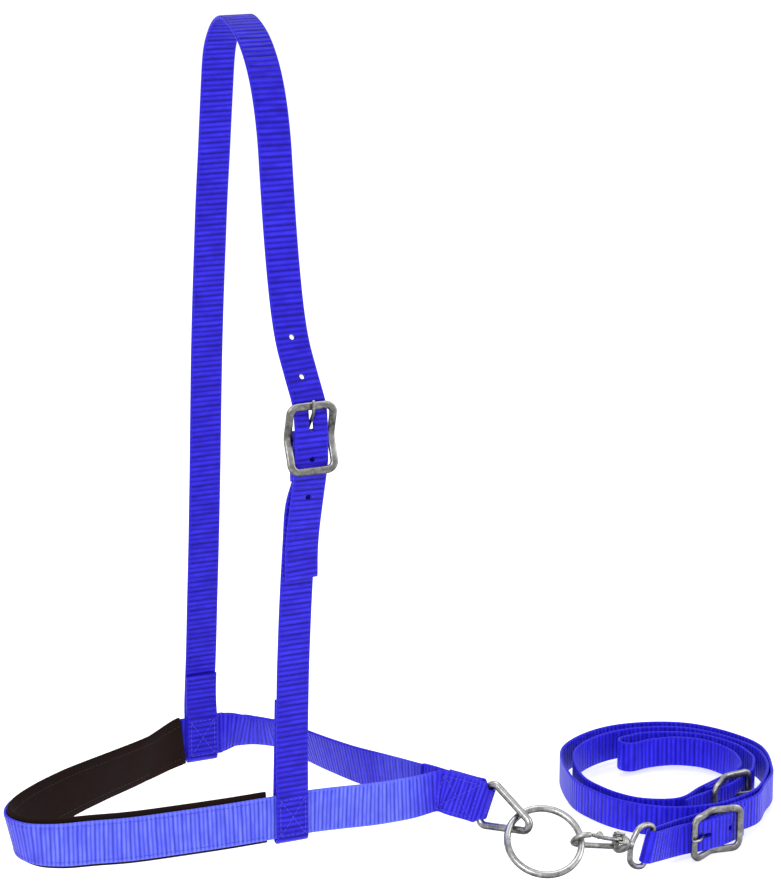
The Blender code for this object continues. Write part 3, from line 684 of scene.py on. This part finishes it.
BAR_RADIUS = 1.8
RAIL_REACH = 17.5
RAIL_SPREAD = 12.4
RAIL_HEIGHT = 6.3
RAIL_DIP = 1.8
RAIL_WIDTH = 4.2
RAIL_THICKNESS = 2.6
TONGUE_WIRE = 1.8
TONGUE_HOLE = Vector((0, 9.8, 4.6))  # middle of the worn hole the tongue is in
WORN_HOLE = (2.5, 12.0)


def wrap_route(tail=24.0):
    """A strap folded round the centre bar: its sewn tail, the fold, and its main run."""
    fold = arc((0, 0), BAR_RADIUS + GAP + WEB / 2, -90, 90, 16)
    run = [(-4.5, 2.2), (-9.5, -0.4), (-12.5, -0.8), (-tail, -0.9)]
    return [(-tail, -3.0), (-10, -3.0), *fold, *run]


def billet_route():
    """The free end over the centre bar and under both end rails, from the tongue's side."""
    return [(40, 0.6), (28, 1.8), (17.5, 3.3), (9, 4.7), (0, 5.2), (-9, 4.4), (-17.5, 2.9), (-28, 1.4)]


def buckle_frame(name, place, body, replaces):
    """A saddle-shaped casting, high at both end rails, with its centre bar."""
    corner = 4.5
    outline = []
    for sx, sy, start in ((1, 1, 0), (-1, 1, 90), (-1, -1, 180), (1, -1, 270)):
        centre = (sx * (RAIL_SPREAD - corner), sy * (RAIL_REACH - corner))
        outline += arc(centre, corner, start, start + 90, 10)
    rail = []
    for (ax, ay), (bx, by) in zip(outline, outline[1:] + outline[:1]):
        pieces = max(1, round(math.hypot(bx - ax, by - ay) / 1.0))
        for k in range(pieces):
            x = ax + (bx - ax) * k / pieces
            y = ay + (by - ay) * k / pieces
            rise = min(1.0, abs(y) / RAIL_REACH)
            z = RAIL_DIP + (RAIL_HEIGHT - RAIL_DIP) * math.sin(rise * math.pi / 2) ** 1.5
            rail.append(Vector((x, y, z)))
    shape = bmesh.new()
    rows = []
    count = len(rail)
    w, t = RAIL_WIDTH / 2, RAIL_THICKNESS / 2
    for i, point in enumerate(rail):
        heading = (rail[(i + 1) % count] - rail[i - 1]).normalized()
        outward = heading.cross(UP).normalized()
        lift = outward.cross(heading)
        row = []
        for k in range(20):
            a = math.tau * k / 20
            x = w * math.copysign(abs(math.cos(a)) ** 0.55, math.cos(a))
            z = t * math.copysign(abs(math.sin(a)) ** 0.6, math.sin(a))
            row.append(shape.verts.new((point + outward * x + lift * z) * MM))
        rows.append(row)
    for i in range(count):
        hoop(shape, rows[i], rows[(i + 1) % count], smooth=False)
    bmesh.ops.recalc_face_normals(shape, faces=shape.faces)
    ring = finished(name + "_ring", shape)
    ring.matrix_world = place
    bar = lathe(name + "_bar", [(0, -RAIL_SPREAD), (BAR_RADIUS, -RAIL_SPREAD), (BAR_RADIUS, RAIL_SPREAD),
                                (0, RAIL_SPREAD)], place, 28)
    made = fuse(name, [ring, bar], 0.3, 2)
    return put(made, CAST, body, [replaces])


def buckle_tongue(name, place, body, replaces):
    """The wire tongue: a loop round the bar, then up through the hole and onto the end rail."""
    loop = arc((0, 0), 3.0, 60, 330, 26)
    blade = smooth([(y, z, 0) for y, z in (loop[-1], (4.6, 0.4), (8.0, 3.3), (11.4, 6.4), (14.4, 8.5),
                                           (17.5, 9.2), (20.4, 9.0))], 0.7)
    route = [(0, y, z) for y, z in loop[:-1]] + [(0, p.x, p.y) for p in blade]
    made = tube(name, route, TONGUE_WIRE / 2, place=place)
    made.data.transform(made.matrix_world)
    made.matrix_world = Matrix()
    return put(made, WIRE, body, [replaces])


def slot_cutter(place):
    """The slot in a folded strap that leaves the tongue's loop room on the bar."""
    return slab("slot", (0, 0.9, 0), (3.2, 10.6, 9.8), place)


def holes_along(path, across, place, steps):
    """Cutters for punched holes at the usual pitch, counted from the one the tongue is in."""
    tongue_at = side([(11.0, 4.4)], place)[0]
    toward = (place.to_3x3() @ Vector((0, 1, 0))).normalized()
    first = min(range(1, len(path) - 1), key=lambda k: (path[k] - tongue_at).length)
    sense = 1 if (path[first + 1] - path[first - 1]).dot(toward) > 0 else -1
    made = []
    for step in steps:
        if not step:
            made.append(pin(place @ Matrix.Translation(TONGUE_HOLE * MM), *WORN_HOLE, HOLE_CUT))
            continue
        k = first
        left = abs(step) * HOLE_PITCH
        way = sense if step > 0 else -sense
        while left > 0 and 0 < k + way < len(path) - 1:
            left -= (path[k + way] - path[k]).length
            k += way
        heading = (path[k + 1] - path[k - 1]).normalized()
        a = across(path[k], 0) if callable(across) else across
        spot = axes(path[k], a, a.cross(heading))
        made.append(pin(spot, HOLE_WIDTH, HOLE_WIDTH, HOLE_CUT))
    return made


# --- Headstall -------------------------------------------------------------------------------

TAB_START = Vector((91.0, -65.0, BAND_MIDDLE))
TAB_HEADING = math.radians(-25.0)
TAB_DROOP = math.radians(16.5)
TAB_BAR = 26.7
tab_out = Vector((math.cos(TAB_HEADING), math.sin(TAB_HEADING), 0))
tab_side = Vector((math.sin(TAB_HEADING), -math.cos(TAB_HEADING), 0))
tab_along = tab_out * math.cos(TAB_DROOP) - UP * math.sin(TAB_DROOP)
tab_up = tab_out * math.sin(TAB_DROOP) + UP * math.cos(TAB_DROOP)
TRIANGLE_WIRE = 4.4
TRIANGLE_BASE = 28.4
TRIANGLE_HEIGHT = 39.6
TRIANGLE_TURN = math.radians(36.8)
GATHERED_WIDTH = 18.4

FAR_PLAN = [(86, -54), (76, -29), (66, -6), (57, 19), (50, 43), (44, 60), (33, 69.5), (22, 72)]
FAR_SEAT = [(14, 72), (0, 72), (-14, 72)]
NOSE_PLAN = [
    (-24, 68.5), (-44, 57), (-72, 42.5), (-98, 28.5), (-123, 12), (-141, -5), (-147.5, -21), (-142, -36),
    (-128, -45), (-110, -49), (-90, -53.5), (-65, -58), (-38, -62), (-24, -63.5),
]
NEAR_SEAT = [(-14, -64), (0, -64), (14, -64)]
NEAR_PLAN = [(30, -64.6), (52, -65.6), (74, -66.4)]
CHEEK_TILT = 0.05
CHEEK_BUCKLE = axes(
    Vector((2.0, -87.0, -211.0)), ALONG_X, Vector((0, -math.cos(CHEEK_TILT), math.sin(CHEEK_TILT)))
)
SEAT = WEB + 0.4  # centre of a cheek layer off the centre of the noseband
PATCH_HEIGHT = -433.4  # middle of the sewn patches on the cheeks


def tab_point(along, off):
    return TAB_START + tab_along * along + tab_side * off


def between(x, stops):
    """A value read off a broken line of (place, value) stops."""
    for (a, low), (b, high) in zip(stops, stops[1:]):
        if x <= b:
            return low + (high - low) * max(0, (x - a) / (b - a))
    return stops[-1][1]


def droop(x, y):
    """The band hangs a little lower at the nose and between the cheeks and the chin tab."""
    if x < 0:
        return between(-x, [(13, 0), (34, -2.6)] if y > 0 else [(20, 0), (55, -1.3), (90, -2.6)])
    return between(x, [(20, 0), (45, -1.7), (70, -1.7), (88, -0.2)])


def plan(points):
    return [Vector((x, y, BAND_MIDDLE + droop(x, y))) for x, y in points]


def x_plane(points):
    return [Vector((0, y, z)) for y, z in points]


def nose_line():
    return smooth(plan(FAR_SEAT[-1:] + NOSE_PLAN + NEAR_SEAT[:1]), 2)


def noseband_route():
    """Its sewn-in far end, round the nose, and the near end round the triangle's bar."""
    around = smooth([tab_point(10, 0), tab_point(0, 0), *plan(FAR_PLAN + FAR_SEAT[:1])], 2)[1:]
    nose = nose_line()
    chin = smooth([*plan(NEAR_SEAT[-1:] + NEAR_PLAN), tab_point(0, WEB + GAP), tab_point(9, WEB + GAP)], 2)
    turn = TRIANGLE_WIRE / 2 + GAP + WEB / 2
    fold = [tab_point(TAB_BAR + y, -x) for x, y in arc((0, 0), turn, 180, 0, 16)]
    back = [tab_point(TAB_BAR - 7, -WEB - GAP), tab_point(12, -WEB - GAP), tab_point(2.5, -WEB - GAP)]
    inner_end = [tab_point(TAB_BAR - 5.5, 0), tab_point(18, 0)]
    return (
        inner_end + around + nose + plan(NEAR_SEAT[1:2]) + chin
        + [tab_point(TAB_BAR - 7, WEB + GAP)] + fold + back
    )


def stand(point):
    """Which way the band's width points: upright at the cheeks, leaning at the nose, far side and chin."""
    if point.x < -14:
        tip = between(-point.x, [(88, 0), (140, 13)])
        far = between(-point.x, [(16, 0), (40, 12), (70, 8), (100, 0)]) if point.y > 0 else 0
        inward = Vector((math.sin(math.radians(-tip)), -math.sin(math.radians(far)), 0))
        return (UP + inward).normalized()
    if point.x > 14 and point.y > -54:
        far = between(point.y, [(-54, 0), (-6, 14), (43, 24), (62, 30)])
        far *= between(point.x, [(11, 0), (24, 1)])
        return (UP - Vector((0.7, 0.71, 0)) * math.tan(math.radians(far))).normalized()
    return UP.lerp(tab_up, min(1, max(0, (point.x - 70) / 22))).normalized()


def band_across(point, _):
    return stand(point)


def gathered(point):
    """The band narrows between the triangle's legs where it folds round the bar."""
    past = (point - tab_point(TAB_BAR, 0)).dot(tab_along)
    t = min(1, max(0, (past + 3.2) / 3.2))
    return BAND_WIDTH + (GATHERED_WIDTH - BAND_WIDTH) * t * t * (3 - 2 * t)


def around_band(y, outward):
    """The fold of a cheek strap under the noseband, from its outer side to its inner one."""
    turn = arc((y, BAND_BOTTOM), SEAT, 180, 360, 16)
    return [(py, pz) for py, pz in (turn if outward < 0 else turn[::-1])]


def near_cheek_route():
    inner = [(-65.3, -364), (-64.0, -386), (-63.0, -403), (-62.3, -413), (-61.8, -420.5)]
    fold = around_band(NEAR_SEAT[1][1], -1)[::-1]
    outer = [(-66.2, -420.5), (-66.3, -412), (-66.4, -400), (-66.9, -381), (-68.0, -361),
             (-69.6, -340), (-73.5, -305), (-78.5, -272), (-82.5, -250)]
    wrapped = side(wrap_route()[::-1], CHEEK_BUCKLE)
    return (smooth(x_plane(inner), 2) + x_plane(fold) + smooth([*x_plane(outer), wrapped[0]], 2)[:-1]
            + wrapped)


def crown_route():
    """From the billet's tip up through the buckle, over the poll and round the far noseband."""
    low = [Vector((1.2, -78.6, -292)), Vector((0.7, -81.9, -268))]
    through = side(billet_route()[::-1], CHEEK_BUCKLE)[1:-2] + [Vector((1.0, -80.5, -178))]
    over = x_plane([
        (-73.0, -164), (-66.5, -149), (-61.0, -128), (-56.5, -104), (-53.0, -80), (-49.5, -56),
        (-43.5, -36), (-35, -20.5), (-24, -9), (-12, -2.2), (0, 0.9), (11, -2.4), (20, -10.5),
        (26.5, -22), (31.0, -45), (36.0, -76), (41.0, -105), (45.0, -134), (49.0, -164), (52.5, -196),
        (55.5, -232), (58.5, -270), (62.0, -308), (66.0, -345), (69.5, -378), (72.4, -400),
        (74.0, -412), (74.2, -420.5),
    ])
    fold = around_band(FAR_SEAT[1][1], 1)
    inner = [(69.8, -420.5), (70.9, -411), (70.6, -401), (69.6, -394)]
    return smooth([*low, *through, *over], 2) + x_plane(fold) + smooth(x_plane(inner), 2)


def box_and_cross(place, half_x, half_y):
    """Stitch lines of a box with a cross in it, on the plane of a placing matrix in metres."""
    normal = (place.to_3x3() @ UP).normalized()

    def on(x, y):
        return (place @ (Vector((x, y, 0)) * MM)) / MM, normal

    corners = [on(-half_x, -half_y), on(half_x, -half_y), on(half_x, half_y), on(-half_x, half_y)]
    return [
        [corners[0], corners[1], corners[2], corners[3], corners[0]],
        [corners[0], corners[2]],
        [corners[3], corners[1]],
    ]


def make_headstall():
    route = noseband_route()
    band, length = ribbon("noseband_band", route, band_across, gathered)
    put(band, BAND, "headstall", ["noseband_webbing"])

    line = nose_line()
    inset = WEB / 2 + GAP + LINING_THICKNESS / 2
    path = []
    for before, here, after in zip(line[:1] + line, line, line[1:] + line[-1:]):
        heading = (after - before).normalized()
        path.append(here + UP.cross(heading) * inset)
    half, thin = LINING_WIDTH / 2, LINING_THICKNESS / 2
    section = []
    for k in range(40):
        a = math.tau * k / 40
        x = half * math.copysign(abs(math.cos(a)) ** 0.22, math.cos(a))
        y = thin * math.copysign(abs(math.sin(a)) ** 0.55, math.sin(a))
        section.append((x, y))
    lining, _ = ribbon("nose_pad", path, band_across, LINING_WIDTH, step=1.5, sealed=False, rounds=3,
                       section=section)
    put(lining, LINING, "headstall", ["nose_lining"])

    route = near_cheek_route()
    near, length = ribbon("near_cheek", route, ALONG_X, STRAP_WIDTH, step=0.7)
    bore(near, [slot_cutter(CHEEK_BUCKLE)])
    put(near, STRAP, "headstall", ["near_cheek_strap"])

    route = crown_route()
    path, _ = evenly(route, 0.5)
    crown, length = ribbon("crown", route, ALONG_X, STRAP_WIDTH)
    bore(crown, holes_along(path, ALONG_X, CHEEK_BUCKLE, (-2, -1, 0, 1, 2)))
    put(crown, STRAP, "headstall", ["crown_strap"])

    buckle_frame("cheek_buckle", CHEEK_BUCKLE, "headstall", "cheek_buckle_frame")
    buckle_tongue("cheek_tongue_wire", CHEEK_BUCKLE, "cheek_tongue", "cheek_buckle_tongue")

    patches = []
    for seat in (NEAR_SEAT, FAR_SEAT):
        for way in (-1, 1):
            spot = Vector((0, seat[1][1] + way * (SEAT + WEB / 2), PATCH_HEIGHT))
            patches.append(axes(spot, ALONG_X, Vector((0, way, 0))))
    tab_middle = (TAB_BAR - 8) / 2 + 1
    tab_face = axes(tab_point(tab_middle, WEB * 1.5 + GAP), tab_along, tab_side)
    tab_back = axes(tab_point(tab_middle + 1, -WEB * 1.5 - GAP), tab_along, -tab_side)
    lines = []
    for place in patches:
        lines += box_and_cross(place, 7.4, 10.6)
    lines += box_and_cross(tab_face, 10.6, 10.2)
    lines += box_and_cross(tab_back, 9.6, 10.2)
    put(stitches("headstall_stitching", lines), THREAD, "headstall")


def lining_seams():
    """Two rows that hold the lining, seen as fine thread on both faces."""
    line = nose_line()
    outer, inner = [], []
    for height in (-10.4, 10.4):
        out_row, in_row = [], []
        for before, here, after in zip(line, line[1:], line[2:]):
            normal = UP.cross((after - before).normalized())
            lift = stand(here) * height
            out_row.append((here + lift - normal * (WEB / 2), -normal))
            in_row.append((here + lift + normal * (WEB / 2 + GAP + LINING_THICKNESS - 0.12), normal))
        outer.append(out_row)
        inner.append(in_row)
    put(stitches("band_seam", outer, radius=0.19, seed=3), THREAD, "headstall")
    put(stitches("lining_seam", inner, radius=0.19, seed=4), DARK_THREAD, "headstall")


# --- Triangle, ring and snap -----------------------------------------------------------------

RING_WIRE = 4.0
RING_RADIUS = 21.0
RING_CENTRE = Vector((134.6, -110.2, -455.5))
RING_LEAN = math.radians(50.9)
RING_TURN = math.radians(-9.0)
HOOK_WIRE = 3.4
HOOK_RADIUS = 5.9
HOOK_CENTRE = 1.9
COLLAR_START = 29.0
COLLAR_LENGTH = 7.0
COLLAR_RADIUS = 5.6
SHANK_RADIUS = 1.7
GATE_PIVOT = Vector((25.5, -4.6, 0))
EYE_BAR = Vector((205.3, -105.3, -473.0))
EYE_WIRE = 3.4
EYE_INSIDE = 21.5

TRIANGLE_BAR = tab_point(TAB_BAR, 0)
triangle_out = tab_along * math.cos(TRIANGLE_TURN) + tab_side * math.sin(TRIANGLE_TURN)
TRIANGLE_PLACE = axes(TRIANGLE_BAR, triangle_out, triangle_out.cross(tab_up))
ring_out = tab_out * math.cos(RING_TURN) + tab_side * math.sin(RING_TURN)
ring_back = tab_out * math.sin(RING_TURN) - tab_side * math.cos(RING_TURN)
ring_rise = UP * math.cos(RING_LEAN) + ring_back * math.sin(RING_LEAN)
RING_PLACE = axes(RING_CENTRE, ring_out, ring_out.cross(ring_rise))
RING_HOOKED = RING_CENTRE + ring_out * RING_RADIUS
snap_along = (EYE_BAR - RING_HOOKED).normalized()
SNAP_LENGTH = (EYE_BAR - RING_HOOKED).length
SNAP_PLACE = axes(RING_HOOKED, snap_along, ring_rise - snap_along * ring_rise.dot(snap_along))
eye_up = (UP - snap_along * UP.dot(snap_along)).normalized()
EYE_PLACE = axes(RING_HOOKED, snap_along, eye_up.cross(snap_along) * -1)


def bake_place(obj):
    obj.data.transform(obj.matrix_world)
    obj.matrix_world = Matrix()
    return obj


def make_triangle():
    corners = [Vector((0, TRIANGLE_BASE / 2, 0)), Vector((0, -TRIANGLE_BASE / 2, 0)),
               Vector((TRIANGLE_HEIGHT, 0, 0))]
    bend = 4.0
    points = []
    for k, corner in enumerate(corners):
        one = (corners[k - 1] - corner).normalized()
        two = (corners[(k + 1) % 3] - corner).normalized()
        half = one.angle(two) / 2
        centre = corner + (one + two).normalized() * bend / math.sin(half)
        start = corner + one * bend / math.tan(half) - centre
        stop = corner + two * bend / math.tan(half) - centre
        turn = [centre + start.slerp(stop, t / 18) * bend for t in range(19)]
        if points:
            gap = turn[0] - points[-1]
            points += [points[-1] + gap * t / 6 for t in range(1, 6)]
        points += turn
    wire = tube("triangle_wire", points, TRIANGLE_WIRE / 2, closed=True, sides=28, place=TRIANGLE_PLACE)
    put(bake_place(wire), WIRE, "triangle", ["chin_triangle"])


def make_ring():
    points = [(x, y, 0) for x, y in arc((0, 0), RING_RADIUS, 0, 360, 128)[:-1]]
    made = bake_place(tube("ring_wire", points, RING_WIRE / 2, closed=True, sides=28, place=RING_PLACE))
    put(made, WIRE, "ring", ["tie_down_ring"])


def make_snap():
    nose = [Vector((x, y, 0)) for x, y in arc((HOOK_CENTRE, 0), HOOK_RADIUS, 90, 264, 40)]
    spine = smooth([(COLLAR_START + 1.5, 4.1, 0), (21, 4.9, 0), (12, 5.8, 0), (6, 5.9, 0)], 1)
    hook = tube("hook", [*spine, *nose], HOOK_WIRE / 2, sides=20, place=SNAP_PLACE)
    end = COLLAR_START + COLLAR_LENGTH
    collar = lathe("collar", [
        (SHANK_RADIUS + GAP, COLLAR_START), (COLLAR_RADIUS - 0.8, COLLAR_START),
        (COLLAR_RADIUS, COLLAR_START + 0.9), (COLLAR_RADIUS, end - 4.6), (COLLAR_RADIUS - 0.5, end - 4.0),
        (COLLAR_RADIUS - 0.3, end - 3.2), (COLLAR_RADIUS - 1.7, end), (SHANK_RADIUS + GAP, end),
        (SHANK_RADIUS + GAP, COLLAR_START),
    ], SNAP_PLACE)
    x, y, _ = GATE_PIVOT
    lugs = [slab("lug", (x + 1.6, y, sign * 2.9), (7.0, 4.0, 1.2), SNAP_PLACE) for sign in (-1, 1)]
    pin_place = SNAP_PLACE @ Matrix.Translation(GATE_PIVOT * MM)
    body = fuse("snap_casting", [hook, collar, *lugs], 0.22, 2, [pin(pin_place, 2.1, 2.1, 12)])
    put(body, CAST, "snap", ["snap_body"])

    upright = SNAP_PLACE @ Matrix.Translation(Vector((x, y, 0)) * MM) @ Matrix.Rotation(-math.pi / 2, 4, "Y")
    rivet = lathe("gate_rivet", [
        (0, -4.6), (1.1, -4.55), (1.6, -4.25), (1.7, -3.8), (0.9, -3.8), (0.9, 3.8), (1.7, 3.8),
        (1.6, 4.25), (1.1, 4.55), (0, 4.6),
    ], upright)
    for face in rivet.data.polygons:
        face.use_smooth = True
    rivet.data.set_sharp_from_angle(angle=math.radians(40))
    put(bake_place(rivet), WIRE, "snap", ["snap_gate_rivet"])

    hub = lathe("hub", [(1.2, -1.5), (2.2, -1.5), (2.2, 0.3), (1.2, 0.3), (1.2, -1.5)], upright)
    reach = smooth([(x - 1.4, y, -0.6), (13, -5.0, -0.4), (7, -5.6, -0.1), (HOOK_CENTRE + 2.6, -5.9, 0)], 0.8)
    bar = tube("bar", reach, 1.2, sides=16, place=SNAP_PLACE)
    beside = SNAP_PLACE @ Matrix.Translation(Vector((8.6, -8.4, 0)) * MM)
    lump = lathe("lump", [(0, 0), (1.5, 0.1), (2.0, 0.6), (2.1, 1.6), (1.8, 3.4), (0, 3.4)],
                 beside @ Matrix.Rotation(math.pi / 2, 4, "Z"), 24)
    gate = fuse("gate_casting", [hub, bar, lump], 0.2, 2, [pin(pin_place, 2.4, 2.4, 8)])
    put(gate, CAST, "gate", ["snap_gate"])

    coil = []
    turns, steps, radius = 1.75, 28, 1.75
    for k in range(int(turns * steps) + 1):
        angle = math.tau * k / steps + math.pi
        coil.append(GATE_PIVOT + Vector((
            radius * math.cos(angle), radius * math.sin(angle), 1.05 + 0.5 * k / steps
        )))
    route = [GATE_PIVOT + Vector((-6.0, 1.9, 1.05)), *coil[7:], coil[-1] + Vector((2.2, -0.1, 0))]
    spring = bake_place(tube("gate_spring", route, 0.225, sides=10, place=SNAP_PLACE))
    put(spring, WIRE, "snap", ["snap_gate_spring"])

    half = EYE_INSIDE / 2 + EYE_WIRE / 2
    root = COLLAR_START + COLLAR_LENGTH + 4.0
    neck = SNAP_LENGTH - 5.5
    outline = [(root, 0), (root + 0.6, 3.2), (neck - 6.5, half - 2.6), (neck - 2.0, half),
               (SNAP_LENGTH - 2.2, half), (SNAP_LENGTH - 0.6, half - 0.7), (SNAP_LENGTH, half - 2.4)]
    points = [Vector((px, py, 0)) for px, py in outline]
    points += [Vector((px, -py, 0)) for px, py in outline[::-1][:-1]]
    dense = []
    for a, b in zip(points, points[1:] + points[:1]):
        pieces = max(1, round((b - a).length / 1.2))
        dense += [a.lerp(b, t / pieces) for t in range(pieces)]
    for _ in range(3):
        dense = [(dense[i - 1] + dense[i] * 2 + dense[(i + 1) % len(dense)]) / 4 for i in range(len(dense))]
    loop = tube("loop", dense, EYE_WIRE / 2, closed=True, sides=20, place=EYE_PLACE)
    shank = lathe("shank", [
        (0, root + 0.9), (2.2, root + 0.7), (2.7, root), (2.6, COLLAR_START + COLLAR_LENGTH + 0.6),
        (SHANK_RADIUS, COLLAR_START + COLLAR_LENGTH + 0.6), (SHANK_RADIUS, COLLAR_START - 0.4),
        (2.5, COLLAR_START - 0.4), (2.1, COLLAR_START - 1.7), (0, COLLAR_START - 1.9),
    ], EYE_PLACE, 28)
    eye = fuse("swivel_eye", [loop, shank], 0.22, 2)
    put(eye, CAST, "swivel", ["snap_eye"])


# --- Tie-down strap --------------------------------------------------------------------------

COIL_CENTRE = Vector((275.0, 2.0, TIE_DOWN_MIDDLE))
FRONT_BUCKLE_AT = Vector((256.0, -89.0, TIE_DOWN_MIDDLE))
REAR_BUCKLE_AT = Vector((290.5, -46.5, TIE_DOWN_MIDDLE))
UNDER_BUCKLE = -5.1
COIL = [
    (-74, 79), (-60, 72), (-38, 68.5), (0, 68), (45, 66), (90, 63), (135, 62), (180, 63), (205, 69),
    (225, 75), (245, 78.5), (265, 77.5), (285, 73.5), (300, 70), (330, 65.3), (360, 62.4), (405, 58),
    (450, 54), (495, 53.5), (540, 56), (565, 61), (585, 66), (600, 66.5), (612, 63),
]
LOOP = [(-32, 49), (-8, 47.5), (20, 44.5), (45, 39.5), (70, 33.5), (92, 30)]  # on from the rear buckle
RETURN = [(92, 43), (70, 46), (35, 51), (5, 55), (-18, 57.5), (-30, 57)]  # and back to it


def buckle_axes(at, heading, towards):
    """A tie-down buckle lies on its side: its x axis is up, its y axis points to the billet."""
    out = Vector((math.sin(heading), -math.cos(heading), 0))
    along = Vector((math.cos(heading), math.sin(heading), 0)) * towards
    return axes(at, along.cross(out), out)


FRONT_BUCKLE = buckle_axes(FRONT_BUCKLE_AT, math.radians(10.0), -1)
REAR_BUCKLE = buckle_axes(REAR_BUCKLE_AT, math.radians(24.0), 1)


def round_coil(places):
    return [
        COIL_CENTRE + Vector((math.cos(math.radians(a)), math.sin(math.radians(a)), 0)) * r
        for a, r in places
    ]


def eye_fold():
    turn = EYE_WIRE / 2 + GAP + WEB / 2
    near = snap_along.cross(eye_up)
    return [
        EYE_BAR - snap_along * (turn * math.sin(a)) + near * (turn * math.cos(a))
        for a in (math.pi * k / 16 for k in range(17))
    ]


def tie_down_route():
    """Tip, snap-end buckle, snap eye, two turns of coil, loop-end buckle, loop and back to a tip."""
    front = side([(-25, 1.2), *billet_route()[::-1][1:-2], (27, 2.2)], FRONT_BUCKLE)
    fold = eye_fold()
    under = [(y, UNDER_BUCKLE) for y in (21, 14, 7, 0, -7, -13, -18)]
    main = side(under, FRONT_BUCKLE)
    rear = side(under[::-1], REAR_BUCKLE)
    back = side([(28, 1.8), *billet_route()[2:-1], (-30, 1.0), (-40, 0.2)], REAR_BUCKLE)
    bend = round_coil(LOOP[-1:] + RETURN[:1])
    middle = (bend[0] + bend[1]) / 2
    out = (bend[0] - middle).length
    radial = (bend[0] - middle).normalized()
    tangent = radial.cross(UP) * -1
    u_turn = [
        middle + radial * out * math.cos(a) - tangent * out * math.sin(a)
        for a in (math.pi * k / 16 for k in range(1, 16))
    ]
    route = smooth([*front, fold[0] + (front[-1] - fold[0]) * 0.35], 1.5)[:-1]
    route += fold
    route += smooth([fold[-1] + (main[0] - fold[-1]) * 0.4, *main, *round_coil(COIL), *rear,
                     *round_coil(LOOP)], 1.5)
    route += u_turn
    route += smooth([*round_coil(RETURN), *back], 1.5)
    return route


def tie_down_across(point, _):
    """On edge everywhere, but square to the tilted eye bar where it folds round it."""
    if point.y > -80:
        return UP
    return eye_up.lerp(UP, min(1, max(0, (point.x - EYE_BAR.x - 4) / 26))).normalized()


def make_tie_down():
    route = tie_down_route()
    path, _ = evenly(route, 0.5)
    strap, length = ribbon("tie_down", route, tie_down_across, STRAP_WIDTH)
    front_end, rear_end = path[:190], path[-190:]
    bore(strap, holes_along(front_end, tie_down_across, FRONT_BUCKLE, (-1, 0))
         + holes_along(rear_end, UP, REAR_BUCKLE, (-1, 0, 1)))
    put(strap, LEAD, "tie_down", ["tie_down_strap"])
    for end, place in (("snap_end", FRONT_BUCKLE), ("loop_end", REAR_BUCKLE)):
        buckle_frame(end + "_buckle", place, "tie_down", end + "_buckle_frame")
        buckle_tongue(end + "_tongue_wire", place, end + "_tongue", end + "_buckle_tongue")
        across = (place.to_3x3() @ ALONG_X).normalized()
        chape, length = ribbon(end + "_chape", side(wrap_route(15), place), across, STRAP_WIDTH, step=0.7)
        bore(chape, [slot_cutter(place)])
        put(chape, LEAD, "tie_down", [end + "_buckle_chape"])


bpy.context.scene.view_settings.view_transform = "Standard"
set_stage()
make_headstall()
lining_seams()
make_triangle()
make_ring()
make_snap()
make_tie_down()

bpy.context.view_layer.update()
